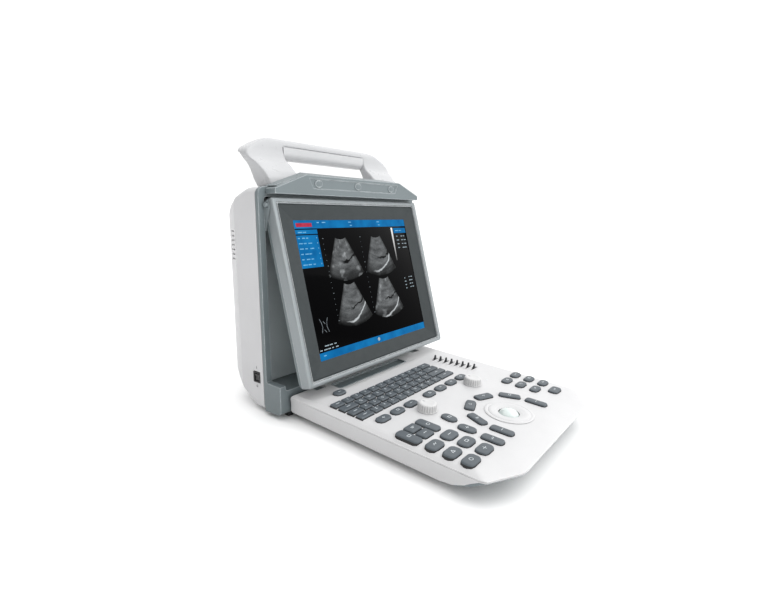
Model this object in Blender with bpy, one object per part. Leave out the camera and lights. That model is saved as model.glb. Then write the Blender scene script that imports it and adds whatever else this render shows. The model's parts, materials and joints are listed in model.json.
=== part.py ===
"""Portable ultrasound scanner: a leaning main unit with a tilting display in a front recess,
a fold-down control panel, and a carrying handle.

Sizes are millimetres and angles degrees; meshes are built in metres (MM converts). Lengths are
measured from the centre of the screen: +X to the user's right, +Y to the rear, +Z up. The empty
called stand moves that centre to its place above the ground.
"""

import math

import bmesh
import bpy
from mathutils import Matrix, Vector

MM = 0.001
GAP = 0.35

# Stance
GROUND_Z = -163.0
CENTRE_Y = 86.71
BODY_LEAN = 5.5
DISPLAY_TILT = 13.7

# Main unit, in the leaning frame
BODY_HALF = 167.0
BODY_TOP = 131.0
BODY_BOTTOM = -156.0
FRAME_FRONT = 33.0
FRAME_BACK = 39.0
CREASE_Y = 88.0
REAR_Y = 121.0
SILL_FRONT = 7.0
SILL_TOP = -118.0
WALL = 3.0
RECESS_HALF = 158.0
RECESS_TOP = 118.5
RECESS_FLOOR = -124.6
RECESS_BACK = 57.0
SWITCH_AT = (52.5, -112.5)
ROCKER_TIP = 8.0
SOCKET_X = (-70.0, 6.0)
SOCKET_Z = -14.0
SOCKET_BACK = 131.0
INLET_AT = (115.0, -90.0)
BROW_FRONT = 15.0
BROW_TOP = 147.0
HANDLE_TOP = 200.4
LEG_INSIDE = 85.0
BAR_LOW = 171.0
GRIP_SEAM = 189.6

# Display module, measured from its pivot with the module pushed home
PIVOT_Y = 29.3
PIVOT_Z = 108.4
DISPLAY_HALF = 156.2
DISPLAY_TOP = 8.0
DISPLAY_HEIGHT = 240.0
DISPLAY_FRONT = -10.0
DISPLAY_BACK = 10.0
SCREEN_CENTRE = -112.3
SCREEN_HALF_W = 122.9
SCREEN_HALF_H = 92.15
BEZEL_HALF_W = 146.0
BEZEL_HALF_H = 111.0

# Control panel, measured from its hinge axis
HINGE_Y = -17.7
HINGE_Z = -137.0
PANEL_HALF = 154.0
PANEL_TOP = 10.0
PANEL_SEAM = 3.5
PANEL_BOTTOM = -18.0
REAR_RADIUS = 8.5
CORNER_Y = -263.4
NOSE_Y = -286.5
NOSE_HALF = 108.0
UNDERCUT_Y = -232.5
HINGE_X = 112.0

# Controls, measured from the hinge axis
TYPING_LEFT = -146.5
TYPING_RIGHT = 68.0
TYPING_Y = -58.3
TYPING_PITCH_X = 17.05
TYPING_PITCH_Y = 13.7
FIRST_KEY_WIDTHS = (19.5, 28.5, 21.8, 24.8)
INNER_KEYS = (10, 9, 9, 9)
OVAL_Y = -120.5
BALL_Y = -221.5
BALL_RADIUS = 15.0
BALL_Z = 0.5
RING_RADIUS = 31.0
KNOB_Y = -143.5
KNOB_LEFT_X = -69.0
KNOB_RIGHT_X = 51.0
KNOB_RADIUS = 12.7
KNOB_HEIGHT = 10.5
SLIDER_COUNT = 8
SLIDER_FIRST = (99.0, -52.0)
SLIDER_LAST = (110.0, -116.0)
SLIDER_TRAVEL = 8.0
KEY_PROUD = 3.6
KEY_CLEAR = 0.5
WEB_TOP = 6.2
WEB_THICK = 2.0
BOARD_TOP = 0.0

# Colours: base colour, roughness, metallic
WHITE = ((0.83, 0.84, 0.84), 0.42, 0.0)
GREY = ((0.135, 0.165, 0.175), 0.45, 0.0)
SILVER = ((0.62, 0.66, 0.67), 0.3, 0.5)
DARK = ((0.09, 0.115, 0.12), 0.5, 0.0)
KEY_GREY = ((0.105, 0.135, 0.15), 0.5, 0.0)
GLASS = ((0.004, 0.004, 0.005), 0.12, 0.0)
RUBBER = ((0.02, 0.02, 0.021), 0.8, 0.0)
BLACK = ((0.012, 0.012, 0.013), 0.4, 0.0)
PEARL = ((0.72, 0.78, 0.76), 0.12, 0.0)
STEEL = ((0.5, 0.5, 0.52), 0.3, 1.0)
BOARD = ((0.02, 0.16, 0.07), 0.5, 0.0)


def clear_scene():
    for thing in list(bpy.data.objects):
        bpy.data.objects.remove(thing, do_unlink=True)


def empty(name, parent=None, location=(0, 0, 0), lean=0.0):
    marker = bpy.data.objects.new(name, None)
    bpy.context.scene.collection.objects.link(marker)
    marker.parent = parent
    marker.location = Vector(location) * MM
    marker.rotation_euler = (math.radians(lean), 0, 0)
    return marker


def material_for(name, finish):
    colour, roughness, metallic = finish
    made = bpy.data.materials.new(name + "_material")
    made.use_nodes = True
    shader = made.node_tree.nodes["Principled BSDF"]
    shader.inputs["Base Color"].default_value = (*colour, 1)
    shader.inputs["Roughness"].default_value = roughness
    shader.inputs["Metallic"].default_value = metallic
    made.diffuse_color = (*colour, 1)
    return made


def add_object(name, bm, parent, finish, location=(0, 0, 0)):
    bmesh.ops.recalc_face_normals(bm, faces=bm.faces)
    bmesh.ops.scale(bm, vec=(MM, MM, MM), verts=bm.verts)
    mesh = bpy.data.meshes.new(name)
    bm.to_mesh(mesh)
    bm.free()
    mesh.materials.append(material_for(name, finish))
    mesh.shade_smooth()
    mesh.set_sharp_from_angle(angle=math.radians(35))
    thing = bpy.data.objects.new(name, mesh)
    bpy.context.scene.collection.objects.link(thing)
    thing.parent = parent
    thing.location = Vector(location) * MM
    return thing


def helper(name, bm, parent, location=(0, 0, 0)):
    """A cutter or a piece for a union: it is not part of the model."""
    thing = add_object(name, bm, parent, BLACK, location)
    thing.hide_render = True
    thing.display_type = "WIRE"
    return thing


def combine(target, operation, other):
    step = target.modifiers.new(operation.lower() + "_" + other.name, "BOOLEAN")
    step.operation = operation
    step.solver = "EXACT"
    step.object = other


def cut(target, other):
    combine(target, "DIFFERENCE", other)


def join(target, other):
    combine(target, "UNION", other)


def soften(target, width, segments=2):
    step = target.modifiers.new("soft_edges", "BEVEL")
    step.width = width * MM
    step.segments = segments
    step.limit_method = "ANGLE"
    step.angle_limit = math.radians(35)


def arc(centre, radius, start, end, steps):
    """Points on an arc, from start to end in degrees."""
    return [
        (
            centre[0] + radius * math.cos(math.radians(start + (end - start) * i / steps)),
            centre[1] + radius * math.sin(math.radians(start + (end - start) * i / steps)),
        )
        for i in range(steps + 1)
    ]


def rounded_rect(left, right, low, high, radius, steps=3):
    if steps == 0:
        return [(right, high), (left, high), (left, low), (right, low)]
    corners = (
        ((right - radius, high - radius), 0),
        ((left + radius, high - radius), 90),
        ((left + radius, low + radius), 180),
        ((right - radius, low + radius), 270),
    )
    points = []
    for centre, start in corners:
        points += arc(centre, radius, start, start + 90, steps)
    return points


def loft(bm, loops, closed=True):
    """Skins rings of vertices that have equal counts, capping both ends when closed."""
    rings = [[bm.verts.new(point) for point in loop] for loop in loops]
    for lower, upper in zip(rings, rings[1:]):
        count = len(lower)
        for i in range(count):
            j = (i + 1) % count
            bm.faces.new((lower[i], lower[j], upper[j], upper[i]))
    if closed:
        bm.faces.new(rings[0])
        bm.faces.new(rings[-1])
    return rings


def bridge(bm, first, second):
    count = len(first)
    for i in range(count):
        j = (i + 1) % count
        bm.faces.new((first[i], first[j], second[j], second[i]))


def along_y(outline, y):
    return [(x, y, z) for x, z in outline]


def along_x(outline, x):
    return [(x, y, z) for y, z in outline]


def along_z(outline, z):
    return [(x, y, z) for x, y in outline]


def prism(spread, outline, start, end):
    """A solid between two copies of an outline; spread is along_x, along_y or along_z."""
    bm = bmesh.new()
    loft(bm, [spread(outline, start), spread(outline, end)])
    return bm


def box(low, high):
    outline = [(low[0], low[1]), (high[0], low[1]), (high[0], high[1]), (low[0], high[1])]
    return prism(along_z, outline, low[2], high[2])


def cylinder(axis, centre, radius, start, end, steps=24):
    ring = arc(centre, radius, 0, 360, steps)[:-1]
    return prism(axis, ring, start, end)


def turned(profile, steps=32):
    """A solid of revolution about Z from (radius, height) points, bottom to top."""
    bm = bmesh.new()
    loops = [along_z(arc((0, 0), radius, 0, 360, steps)[:-1], z) for radius, z in profile]
    loft(bm, loops)
    return bm


def merged(*parts):
    """Several meshes in one bmesh, for a cutter or a union."""
    bm = bmesh.new()
    for part in parts:
        mesh = bpy.data.meshes.new("scratch")
        part.to_mesh(mesh)
        part.free()
        bm.from_mesh(mesh)
        bpy.data.meshes.remove(mesh)
    return bm


def moved(bm, offset):
    bmesh.ops.translate(bm, vec=offset, verts=bm.verts)
    return bm


def shell(outer, inner, open_back):
    """A tray or tube from front to back: outer and inner are lists of rings."""
    bm = bmesh.new()
    outside = loft(bm, outer, closed=False)
    inside = loft(bm, inner, closed=False)
    bridge(bm, outside[0], inside[0])
    if open_back:
        bridge(bm, outside[-1], inside[-1])
    else:
        bm.faces.new(outside[-1])
        bm.faces.new(inside[-1])
    return bm


# ---------------------------------------------------------------- main unit


def body_ring(y, half, low, high, radius, inset=0.0):
    outline = rounded_rect(
        -half + inset, half - inset, low + inset, high - inset, max(radius - inset, 1.0), 4
    )
    return along_y(outline, y)


def add_front_frame(lean):
    outer = rounded_rect(-BODY_HALF, BODY_HALF, BODY_BOTTOM, BODY_TOP, 10, 5)
    frame = add_object("front_frame", prism(along_y, outer, FRAME_FRONT, FRAME_BACK), lean, GREY)
    soften(frame, 1.2, 2)
    sill_profile = [
        (SILL_FRONT, SILL_TOP),
        (SILL_FRONT, BODY_BOTTOM + 4),
        (SILL_FRONT + 4, BODY_BOTTOM),
        (FRAME_BACK - 1, BODY_BOTTOM),
        (FRAME_BACK - 1, SILL_TOP + 4),
        (FRAME_FRONT - 2, SILL_TOP + 1.5),
    ]
    sill = helper("sill_block", prism(along_x, sill_profile, -BODY_HALF, BODY_HALF), lean)
    soften(sill, 1.5, 2)
    join(frame, sill)
    wall = rounded_rect(
        -RECESS_HALF - WALL, RECESS_HALF + WALL, RECESS_FLOOR - WALL, RECESS_TOP + WALL, 5, 2
    )
    join(frame, helper("recess_wall", prism(along_y, wall, FRAME_BACK - 2, RECESS_BACK + 1), lean))
    opening = rounded_rect(-RECESS_HALF, RECESS_HALF, RECESS_FLOOR, RECESS_TOP, 3, 2)
    cut(frame, helper("recess_opening", prism(along_y, opening, 0, RECESS_BACK + 10), lean))
    behind_sill = box((-BODY_HALF + 5, 12, BODY_BOTTOM + 4), (BODY_HALF - 5, 60, RECESS_FLOOR - 3))
    cut(frame, helper("sill_hollow", behind_sill, lean))
    pins = cylinder(along_x, (PIVOT_Y, PIVOT_Z), 3.4, -170, 170, 16)
    pin_holes = helper("display_pin_holes", pins, lean)
    cut(frame, pin_holes)
    for side in (-1, 1):
        add_panel_lug(frame, lean, side)


def add_panel_lug(frame, lean, side):
    """A knuckle that stands out of the sill and carries the panel's hinge pin."""
    hinge = leaning_point(HINGE_Y, HINGE_Z)
    reach = [(SILL_FRONT + 3, hinge[1] - 5), (SILL_FRONT + 3, hinge[1] + 5)]
    outline = arc(hinge, 5.5, 80, 280, 8) + reach
    low, high = sorted((side * (HINGE_X - 9), side * (HINGE_X + 9)))
    name = "lug_left" if side < 0 else "lug_right"
    join(frame, helper(name, prism(along_x, outline, low, high), lean))
    bore = cylinder(along_x, hinge, 2.8, low - 3, high + 3, 16)
    cut(frame, helper(name + "_bore", bore, lean))


def leaning_point(y, z):
    """An upright frame's point in the leaning frame."""
    turn = math.radians(BODY_LEAN)
    return (
        y * math.cos(turn) - z * math.sin(turn),
        y * math.sin(turn) + z * math.cos(turn),
    )


def upright_point(y, z):
    """A leaning frame's point in the upright frame."""
    turn = math.radians(BODY_LEAN)
    return (
        y * math.cos(turn) + z * math.sin(turn),
        -y * math.sin(turn) + z * math.cos(turn),
    )


def add_mid_housing(lean):
    sections = (
        (FRAME_BACK + GAP, 167.0, -156.0, 131.0, 10),
        (60.0, 165.6, -155.6, 131.0, 11),
        (74.0, 164.2, -149.0, 127.5, 12),
        (CREASE_Y, 163.0, -141.5, 123.0, 13),
    )
    outer = [body_ring(*section) for section in sections]
    inner = [body_ring(*section, inset=WALL) for section in sections]
    housing = add_object("mid_housing", shell(outer, inner, True), lean, WHITE)
    at_y, at_z = SWITCH_AT
    hole = box((-172, at_y - 7, at_z - 7.5), (-155, at_y + 7, at_z + 7.5))
    cut(housing, helper("switch_hole", hole, lean))


def add_rear_cover(lean):
    sections = (
        (CREASE_Y + GAP, 162.6, -141.0, 122.8, 13),
        (104.0, 156.0, -134.0, 117.5, 14),
        (115.0, 150.5, -129.0, 112.0, 15),
        (REAR_Y - 2, 147.5, -126.0, 109.0, 15),
        (REAR_Y, 143.0, -121.5, 104.5, 14),
    )
    outer = [body_ring(*section) for section in sections]
    inner_sections = sections[:-2] + ((REAR_Y - WALL, 145.5, -124.0, 107.0, 14),)
    inner = [body_ring(*section, inset=WALL) for section in inner_sections]
    cover = add_object("rear_cover", shell(outer, inner, False), lean, WHITE)
    cut(cover, helper("side_vents", side_vents(), lean))
    bay = box((-86, 100, -116), (86, 130, -46))
    cut(cover, helper("battery_bay", bay, lean))
    cut(cover, helper("inlet_hole", inlet_block(GAP, 95, 130), lean))
    sockets = merged(*(socket_block(x, GAP, 95, 130) for x in SOCKET_X))
    cut(cover, helper("socket_holes", sockets, lean))
    fan = cylinder(along_y, (100, 60), 27, 95, 130, 24)
    cut(cover, helper("fan_opening", fan, lean))


def side_vents():
    """Two columns of short slots through each rear side facet."""
    slots = []
    for side in (-1, 1):
        for row in range(7):
            height = 76 - row * 6
            for depth in (92, 99.5):
                low, high = sorted((side * 140, side * 175))
                slots.append(box((low, depth, height - 1.2), (high, depth + 5, height + 1.2)))
    return merged(*slots)


def add_bulkhead(lean):
    half = RECESS_HALF - GAP
    outline = rounded_rect(-half, half, RECESS_FLOOR + GAP, RECESS_TOP - GAP, 3, 2)
    plate = prism(along_y, outline, RECESS_BACK - WALL, RECESS_BACK)
    bulkhead = add_object("display_bulkhead", plate, lean, GREY)
    cable = cylinder(along_y, (0, 60), 12, 40, 70, 20)
    cut(bulkhead, helper("cable_window", cable, lean))


def brow_section(y, half, low, shoulder):
    """The brow across the unit at one depth: its top climbs and narrows to the rear."""
    back = y - BROW_FRONT
    high = BROW_TOP + 0.22 * back
    top_half = 103 - 0.5 * back
    outline = [
        (-half, low),
        (half, low),
        (half, shoulder),
        (top_half, high),
        (-top_half, high),
        (-half, shoulder),
    ]
    return along_y(outline, y)


def add_brow(lean):
    front = bmesh.new()
    loft(front, [brow_section(y, 155, 121.8, 128.5) for y in (BROW_FRONT, FRAME_FRONT - GAP)])
    brow = add_object("brow_cap", front, lean, GREY)
    top = bmesh.new()
    loft(top, [brow_section(y, 150, BODY_TOP + GAP, 132.5) for y in (20, 40)])
    join(brow, helper("brow_top", top, lean))
    recess = [(-90, 130.5), (90, 130.5), (97, 143), (-97, 143)]
    cut(brow, helper("brow_recess", prism(along_y, recess, 10, BROW_FRONT + 1.2), lean))


def handle_front():
    """The handle seen from the front: two wide legs that flare to the shoulders of a level bar."""
    right = [(137, BODY_TOP), (141, 144), (142, 153), (145, 163), (149, 170), (150, 175.5)]
    right += [(147.5, 180), (142, 184.5), (128, 192), (114, 198), (100, HANDLE_TOP)]
    left = [(-x, z) for x, z in reversed(right)]
    legs_inside = [(-LEG_INSIDE, BODY_TOP - 10), (-LEG_INSIDE, 168), (-LEG_INSIDE + 3, BAR_LOW)]
    legs_inside += [(-x, z) for x, z in reversed(legs_inside)]
    return [(137, BODY_TOP - 10)] + right + left + [(-137, BODY_TOP - 10)] + legs_inside


def handle_side():
    """The handle from the side: the legs sweep back as they rise, and the bar tops them."""
    base = BODY_TOP + GAP
    rear = [(42, base), (60, base), (70, base - 2.5), (80, 161), (87, 174), (96, 179), (99, 184)]
    rear += [(99, 192), (96, 198), (88, HANDLE_TOP)]
    front = [(82, 199.2), (78.5, 195), (77, GRIP_SEAM), (75.5, 181), (72.5, 173.5), (69.4, 169.6)]
    front += [(61.7, 163.5), (56.5, 158), (50.8, 152.5), (44.4, 144)]
    return rear + front


def add_handle(lean):
    handle = add_object("handle_shell", prism(along_x, handle_side(), -155, 155), lean, WHITE)
    front = helper("handle_front_view", prism(along_y, handle_front(), 20, 120), lean)
    combine(handle, "INTERSECT", front)
    seat = box((-LEG_INSIDE, 60, BAR_LOW - 10), (LEG_INSIDE, 110, GRIP_SEAM))
    cut(handle, helper("grip_seat", seat, lean))
    high = GRIP_SEAM - GAP
    section = [(76.8, high), (75.8, 182), (77.5, 176.5), (81, 172.6), (86, BAR_LOW), (92, BAR_LOW + 0.5)]
    section += [(96, 174.5), (98, 180), (98, high)]
    grip = prism(along_x, section, -LEG_INSIDE + GAP, LEG_INSIDE - GAP)
    add_object("handle_grip", grip, lean, WHITE)


def add_switch(lean):
    """Mains rocker in the left side, in its bezel; it rests tipped to one side."""
    at_y, at_z = SWITCH_AT
    frame = box((-BODY_HALF, at_y - 6.6, at_z - 7.1), (-161.6, at_y + 6.6, at_z + 7.1))
    bezel = add_object("switch_bezel", frame, lean, BLACK)
    window = box((-172, at_y - 4.5, at_z - 5.4), (-155, at_y + 4.5, at_z + 5.4))
    cut(bezel, helper("rocker_window", window, lean))
    profile = [(-2.0, 4.4), (-1.0, 0), (-2.0, -4.4), (1.8, -3.2), (1.8, 3.2)]
    rocker = prism(along_y, profile, -4.1, 4.1)
    tip = Matrix.Rotation(math.radians(-ROCKER_TIP), 3, "Y")
    bmesh.ops.rotate(rocker, matrix=tip, verts=rocker.verts)
    add_object("power_rocker", rocker, lean, BLACK, (-164.35, at_y, at_z))


def socket_block(centre_x, grow, near, far):
    half_x, half_z = 33 + grow, 18 + grow
    outline = rounded_rect(
        centre_x - half_x, centre_x + half_x, SOCKET_Z - half_z, SOCKET_Z + half_z, 4, 2
    )
    return prism(along_y, outline, near, far)


def add_probe_socket(lean, name, centre_x):
    """A transducer socket that stands proud of the rear, open to the back."""
    socket = add_object(name, socket_block(centre_x, 0, 100, SOCKET_BACK), lean, DARK)
    low, high = SOCKET_Z - 13, SOCKET_Z + 13
    outline = rounded_rect(centre_x - 28, centre_x + 28, low, high, 3, 2)
    hollow = prism(along_y, outline, REAR_Y + 0.5, SOCKET_BACK + 10)
    cut(socket, helper(name + "_hollow", hollow, lean))


def inlet_block(grow, near, far):
    half_x, half_z = 14.5 + grow, 11.5 + grow
    x, z = INLET_AT
    return prism(along_y, rounded_rect(x - half_x, x + half_x, z - half_z, z + half_z, 2, 2), near, far)


def add_mains_inlet(lean):
    inlet = add_object("mains_inlet", inlet_block(0, 98, SOCKET_BACK), lean, BLACK)
    x, z = INLET_AT
    hollow = box((x - 11, REAR_Y + 0.5, z - 8), (x + 11, SOCKET_BACK + 5, z + 8))
    cut(inlet, helper("inlet_hollow", hollow, lean))


def add_battery(lean):
    pack = box((-84, 96, -114), (84, 117, -48))
    battery = add_object("battery_pack", pack, lean, BLACK)
    soften(battery, 2, 1)
    door = box((-85.5, 117.6, -115.5), (85.5, 125.5, -46.5))
    cover = add_object("battery_door", door, lean, WHITE)
    soften(cover, 3, 2)


def add_internals(lean):
    board = box((-140, 62, -110), (132, 64, 100))
    add_object("main_board", board, lean, BOARD)
    supply = add_object("power_supply", box((-140, 68, -60), (-60, 92, 60)), lean, STEEL)
    soften(supply, 2, 1)


def add_fan(lean):
    centre = (100, 60)
    frame = prism(along_y, rounded_rect(70, 130, 30, 90, 5, 3), 98, 113)
    housing = add_object("fan_housing", frame, lean, BLACK)
    cut(housing, helper("fan_throat", cylinder(along_y, centre, 27.5, 101, 120, 28), lean))
    slots = merged(*(fan_slot(centre, turn) for turn in range(0, 360, 60)))
    cut(housing, helper("fan_slots", slots, lean))
    middle = (centre[0], 107, centre[1])
    rotor = add_object("fan_rotor", cylinder(along_y, (0, 0), 11, -5, 5, 24), lean, DARK, middle)
    for index in range(7):
        blade = fan_blade(index * 360 / 7)
        join(rotor, helper(f"fan_blade_{index + 1}", blade, lean, middle))


def fan_slot(centre, turn):
    """A sector window through the fan's back plate."""
    outer = arc((0, 0), 25, turn + 8, turn + 52, 5)
    inner = arc((0, 0), 13, turn + 52, turn + 8, 3)
    outline = [(centre[0] + x, centre[1] + z) for x, z in outer + inner]
    return prism(along_y, outline, 90, 105)


def fan_blade(turn):
    blade = box((9, -3.5, -1), (26, 3.5, 1))
    bmesh.ops.rotate(blade, matrix=Matrix.Rotation(math.radians(35), 3, "X"), verts=blade.verts)
    bmesh.ops.rotate(blade, matrix=Matrix.Rotation(math.radians(turn), 3, "Y"), verts=blade.verts)
    return blade


def add_feet(stand):
    """Rubber strips under the main unit; their tops follow its leaning underside."""
    front = upright_point(12, BODY_BOTTOM - GAP)
    back = upright_point(58, BODY_BOTTOM - GAP)
    outline = [(front[0], GROUND_Z), (back[0], GROUND_Z), back, front]
    for side, name in ((-1, "foot_strip_left"), (1, "foot_strip_right")):
        low, high = sorted((side * 132, side * 150))
        add_object(name, prism(along_x, outline, low, high), stand, RUBBER)


# ------------------------------------------------------------------ display


def add_display(pivot):
    bottom = DISPLAY_TOP - DISPLAY_HEIGHT
    outer = rounded_rect(-DISPLAY_HALF, DISPLAY_HALF, bottom, DISPLAY_TOP, 4, 3)
    frame = add_object("display_frame", prism(along_y, outer, DISPLAY_FRONT, 4), pivot, SILVER)
    soften(frame, 1.2, 2)
    cut(frame, helper("frame_hollow", bezel_prism(1.5, -8, 10), pivot))
    wide = (BEZEL_HALF_W + 4.5, BEZEL_HALF_H + 4.5, DISPLAY_FRONT - 1)
    narrow = (BEZEL_HALF_W, BEZEL_HALF_H, DISPLAY_FRONT + 2.4)
    mouth = tapered_plug(wide, narrow)
    cut(frame, helper("frame_mouth", mouth, pivot))
    cut(frame, helper("frame_pin_holes", cylinder(along_x, (0, 0), 3.4, -160, 160, 16), pivot))
    add_bezel(pivot)
    low, high = SCREEN_CENTRE - SCREEN_HALF_H - 3, SCREEN_CENTRE + SCREEN_HALF_H + 3
    panel = box((-SCREEN_HALF_W - 3, -2.8, low), (SCREEN_HALF_W + 3, 3, high))
    add_object("lcd_panel", panel, pivot, GLASS)
    add_display_back(pivot)


def bezel_prism(grow, start, end):
    half_w, half_h = BEZEL_HALF_W + grow, BEZEL_HALF_H + grow
    low, high = SCREEN_CENTRE - half_h, SCREEN_CENTRE + half_h
    return prism(along_y, rounded_rect(-half_w, half_w, low, high, 2, 2), start, end)


def tapered_plug(wide, narrow):
    """A plug centred on the screen, from its wide front to its narrow back: (half x, half z, y)."""
    bm = bmesh.new()
    loops = []
    for half_w, half_h, y in (wide, narrow):
        low, high = SCREEN_CENTRE - half_h, SCREEN_CENTRE + half_h
        loops.append(along_y(rounded_rect(-half_w, half_w, low, high, 2, 2), y))
    loft(bm, loops)
    return bm


def add_bezel(pivot):
    """The dark surround: it slopes in from the silver lip to the edge of the screen."""
    bezel = add_object("display_bezel", bezel_prism(1.1, -7.2, -0.5), pivot, DARK)
    wide = (BEZEL_HALF_W - 1, BEZEL_HALF_H - 1, -7.9)
    slope = tapered_plug(wide, (SCREEN_HALF_W, SCREEN_HALF_H, -3.3))
    cut(bezel, helper("bezel_slope", slope, pivot))
    low, high = SCREEN_CENTRE - SCREEN_HALF_H, SCREEN_CENTRE + SCREEN_HALF_H
    window = box((-SCREEN_HALF_W, -10, low), (SCREEN_HALF_W, 10, high))
    cut(bezel, helper("bezel_window", window, pivot))
    seat = box((-SCREEN_HALF_W - 3.4, -3.1, low - 3.4), (SCREEN_HALF_W + 3.4, 10, high + 3.4))
    cut(bezel, helper("bezel_seat", seat, pivot))


def add_display_back(pivot):
    bottom = DISPLAY_TOP - DISPLAY_HEIGHT
    profile = [
        (4 + GAP, DISPLAY_TOP - 1),
        (4 + GAP, bottom + 1),
        (DISPLAY_BACK - 2, bottom + 3),
        (DISPLAY_BACK, bottom + 8),
        (DISPLAY_BACK, DISPLAY_TOP - 6),
    ]
    half = DISPLAY_HALF - 1
    back = add_object("display_back_cover", prism(along_x, profile, -half, half), pivot, GREY)
    hollow = box((-half + 3, 0, bottom + 10), (half - 3, 7.5, DISPLAY_TOP - 8))
    cut(back, helper("display_back_hollow", hollow, pivot))


def add_display_hinges(bracket):
    """Friction hinge pins between the recess walls and the display's sides."""
    for side, name in ((-1, "display_hinge_left"), (1, "display_hinge_right")):
        low, high = sorted((side * 149, side * 160.6))
        pin = add_object(name, cylinder(along_x, (0, 0), 3, low, high, 20), bracket, STEEL)
        soften(pin, 0.4, 1)


def add_display_carrier(bracket):
    """The steel carrier behind the display: a plate, and an arm to the hinge pin at each side."""
    back, thick = DISPLAY_BACK + 1.5, 1.2
    arm_inside, arm_outside = DISPLAY_HALF + 0.4, RECESS_HALF - 0.4
    plate = box((-100, back, -150), (100, back + thick, -14))
    carrier = add_object("display_carrier", plate, bracket, STEEL)
    strip = box((-arm_outside, back, -30), (arm_outside, back + thick, -12))
    join(carrier, helper("carrier_strip", strip, bracket))
    outline = [(back + 1, -28), (back + 1, 5), (-4.5, 5), (-4.5, -5), (back - 2, -28)]
    for side in (-1, 1):
        low, high = sorted((side * arm_inside, side * (arm_outside - 0.05)))
        join(carrier, helper(f"carrier_arm_{low:.0f}", prism(along_x, outline, low, high), bracket))
    bore = cylinder(along_x, (0, 0), 3.5, -170, 170, 16)
    cut(carrier, helper("carrier_bore", bore, bracket))


# ------------------------------------------------------------ control panel


def plan_outline(inset=0.0, front_inset=0.0, rear=REAR_RADIUS):
    """The panel from above: straight sides, then a shallow chamfer to the nose."""
    half = PANEL_HALF - inset
    nose = NOSE_Y + front_inset
    corner = CORNER_Y + front_inset * 0.8
    return [
        (half, rear),
        (half, corner + 6),
        (half - 2.5, corner - 1.5),
        (NOSE_HALF + 4, nose + 1.8),
        (NOSE_HALF - 6, nose),
        (-NOSE_HALF + 6, nose),
        (-NOSE_HALF - 4, nose + 1.8),
        (-half + 2.5, corner - 1.5),
        (-half, corner + 6),
        (-half, rear),
    ]


def rear_cutter(lower):
    """Everything behind the rounded rear edge, which is an arc about the hinge axis."""
    far = 30
    outline = arc((0, 0), REAR_RADIUS, 0, 90, 6)
    outline += [(-24, PANEL_TOP - 1.5), (-34, PANEL_TOP + 0.01), (-34, far)]
    outline += [(far, far), (far, lower), (REAR_RADIUS, lower)]
    return prism(along_x, outline, -PANEL_HALF - 5, PANEL_HALF + 5)


def add_top_cover(hinge):
    bm = bmesh.new()
    loops = [
        along_z(plan_outline(), PANEL_SEAM),
        along_z(plan_outline(), PANEL_SEAM + 1.2),
        along_z(plan_outline(3.5, 8.0), PANEL_TOP - 2.2),
        along_z(plan_outline(9.0, 24.0), PANEL_TOP),
    ]
    loft(bm, loops)
    cover = add_object("panel_top_cover", bm, hinge, WHITE)
    inside = bmesh.new()
    loops = [
        along_z(plan_outline(3.0, 14.0, -3), PANEL_SEAM - 5),
        along_z(plan_outline(3.0, 14.0, -3), PANEL_SEAM + 1),
        along_z(plan_outline(9.0, 26.0, -3), PANEL_TOP - 2.6),
    ]
    loft(inside, loops)
    cut(cover, helper("cover_hollow", inside, hinge))
    cut(cover, helper("rear_rounding", rear_cutter(PANEL_SEAM - 30), hinge))
    cut(cover, helper("key_openings", key_openings(), hinge))
    cut(cover, helper("cover_lug_slots", lug_slots(), hinge))


def lug_slots():
    slots = []
    for side in (-1, 1):
        low, high = sorted((side * (HINGE_X - 9.6), side * (HINGE_X + 9.6)))
        slots.append(box((low, -6.5, -6.5), (high, 30, 30)))
    return merged(*slots)


def add_panel_base(hinge):
    bm = bmesh.new()
    seam = PANEL_SEAM - GAP
    steps = (
        (0.0, 0.0, seam),
        (0.0, 0.0, seam - 1.5),
        (1.2, 9.0, -3.0),
        (1.6, 20.0, -9.0),
        (2.0, 36.0, -14.5),
        (4.0, 56.0, PANEL_BOTTOM),
    )
    loft(bm, [along_z(plan_outline(inset, front), z) for inset, front, z in steps])
    base = add_object("panel_base", bm, hinge, WHITE)
    hollow = bmesh.new()
    steps = ((3.0, 14.0, 20.0), (3.0, 14.0, seam - 2), (4.4, 34.0, -9.0), (5.0, 54.0, -15.6))
    loft(hollow, [along_z(plan_outline(inset, front, 5.0), z) for inset, front, z in steps])
    cut(base, helper("base_hollow", hollow, hinge))
    cut(base, helper("base_lug_slots", lug_slots(), hinge))
    cut(base, helper("base_rear_rounding", rear_cutter(-1.0), hinge))


def add_panel_hinge_pins(hinge):
    for side, name in ((-1, "panel_hinge_pin_left"), (1, "panel_hinge_pin_right")):
        low, high = sorted((side * (HINGE_X - 14), side * (HINGE_X + 14)))
        pin = add_object(name, cylinder(along_x, (0, 0), 2.5, low, high, 20), hinge, STEEL)
        soften(pin, 0.4, 1)


def add_channel(hinge):
    """The dark finger channel behind the keys: a shallow tray set into the cover."""
    outline = rounded_rect(-95, 60, -24.2, -4.5, 4, 3)
    tray = add_object("finger_channel", prism(along_z, outline, 3.2, PANEL_TOP - 1.0), hinge, DARK)
    hollow = rounded_rect(-93.2, 58.2, -22.4, -6.3, 3, 3)
    cut(tray, helper("channel_hollow", prism(along_z, hollow, PANEL_TOP - 3.6, 20), hinge))


def channel_opening():
    return prism(along_z, rounded_rect(-95.4, 60.4, -24.6, -4.1, 4, 3), 0, 20)


def add_key_board(hinge):
    board = box((-146, -242, BOARD_TOP - 1.6), (146, -14, BOARD_TOP))
    thing = add_object("control_board", board, hinge, BOARD)
    cut(thing, helper("ball_clearance", cylinder(along_z, (0, BALL_Y), 24, -10, 10, 32), hinge))


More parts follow.
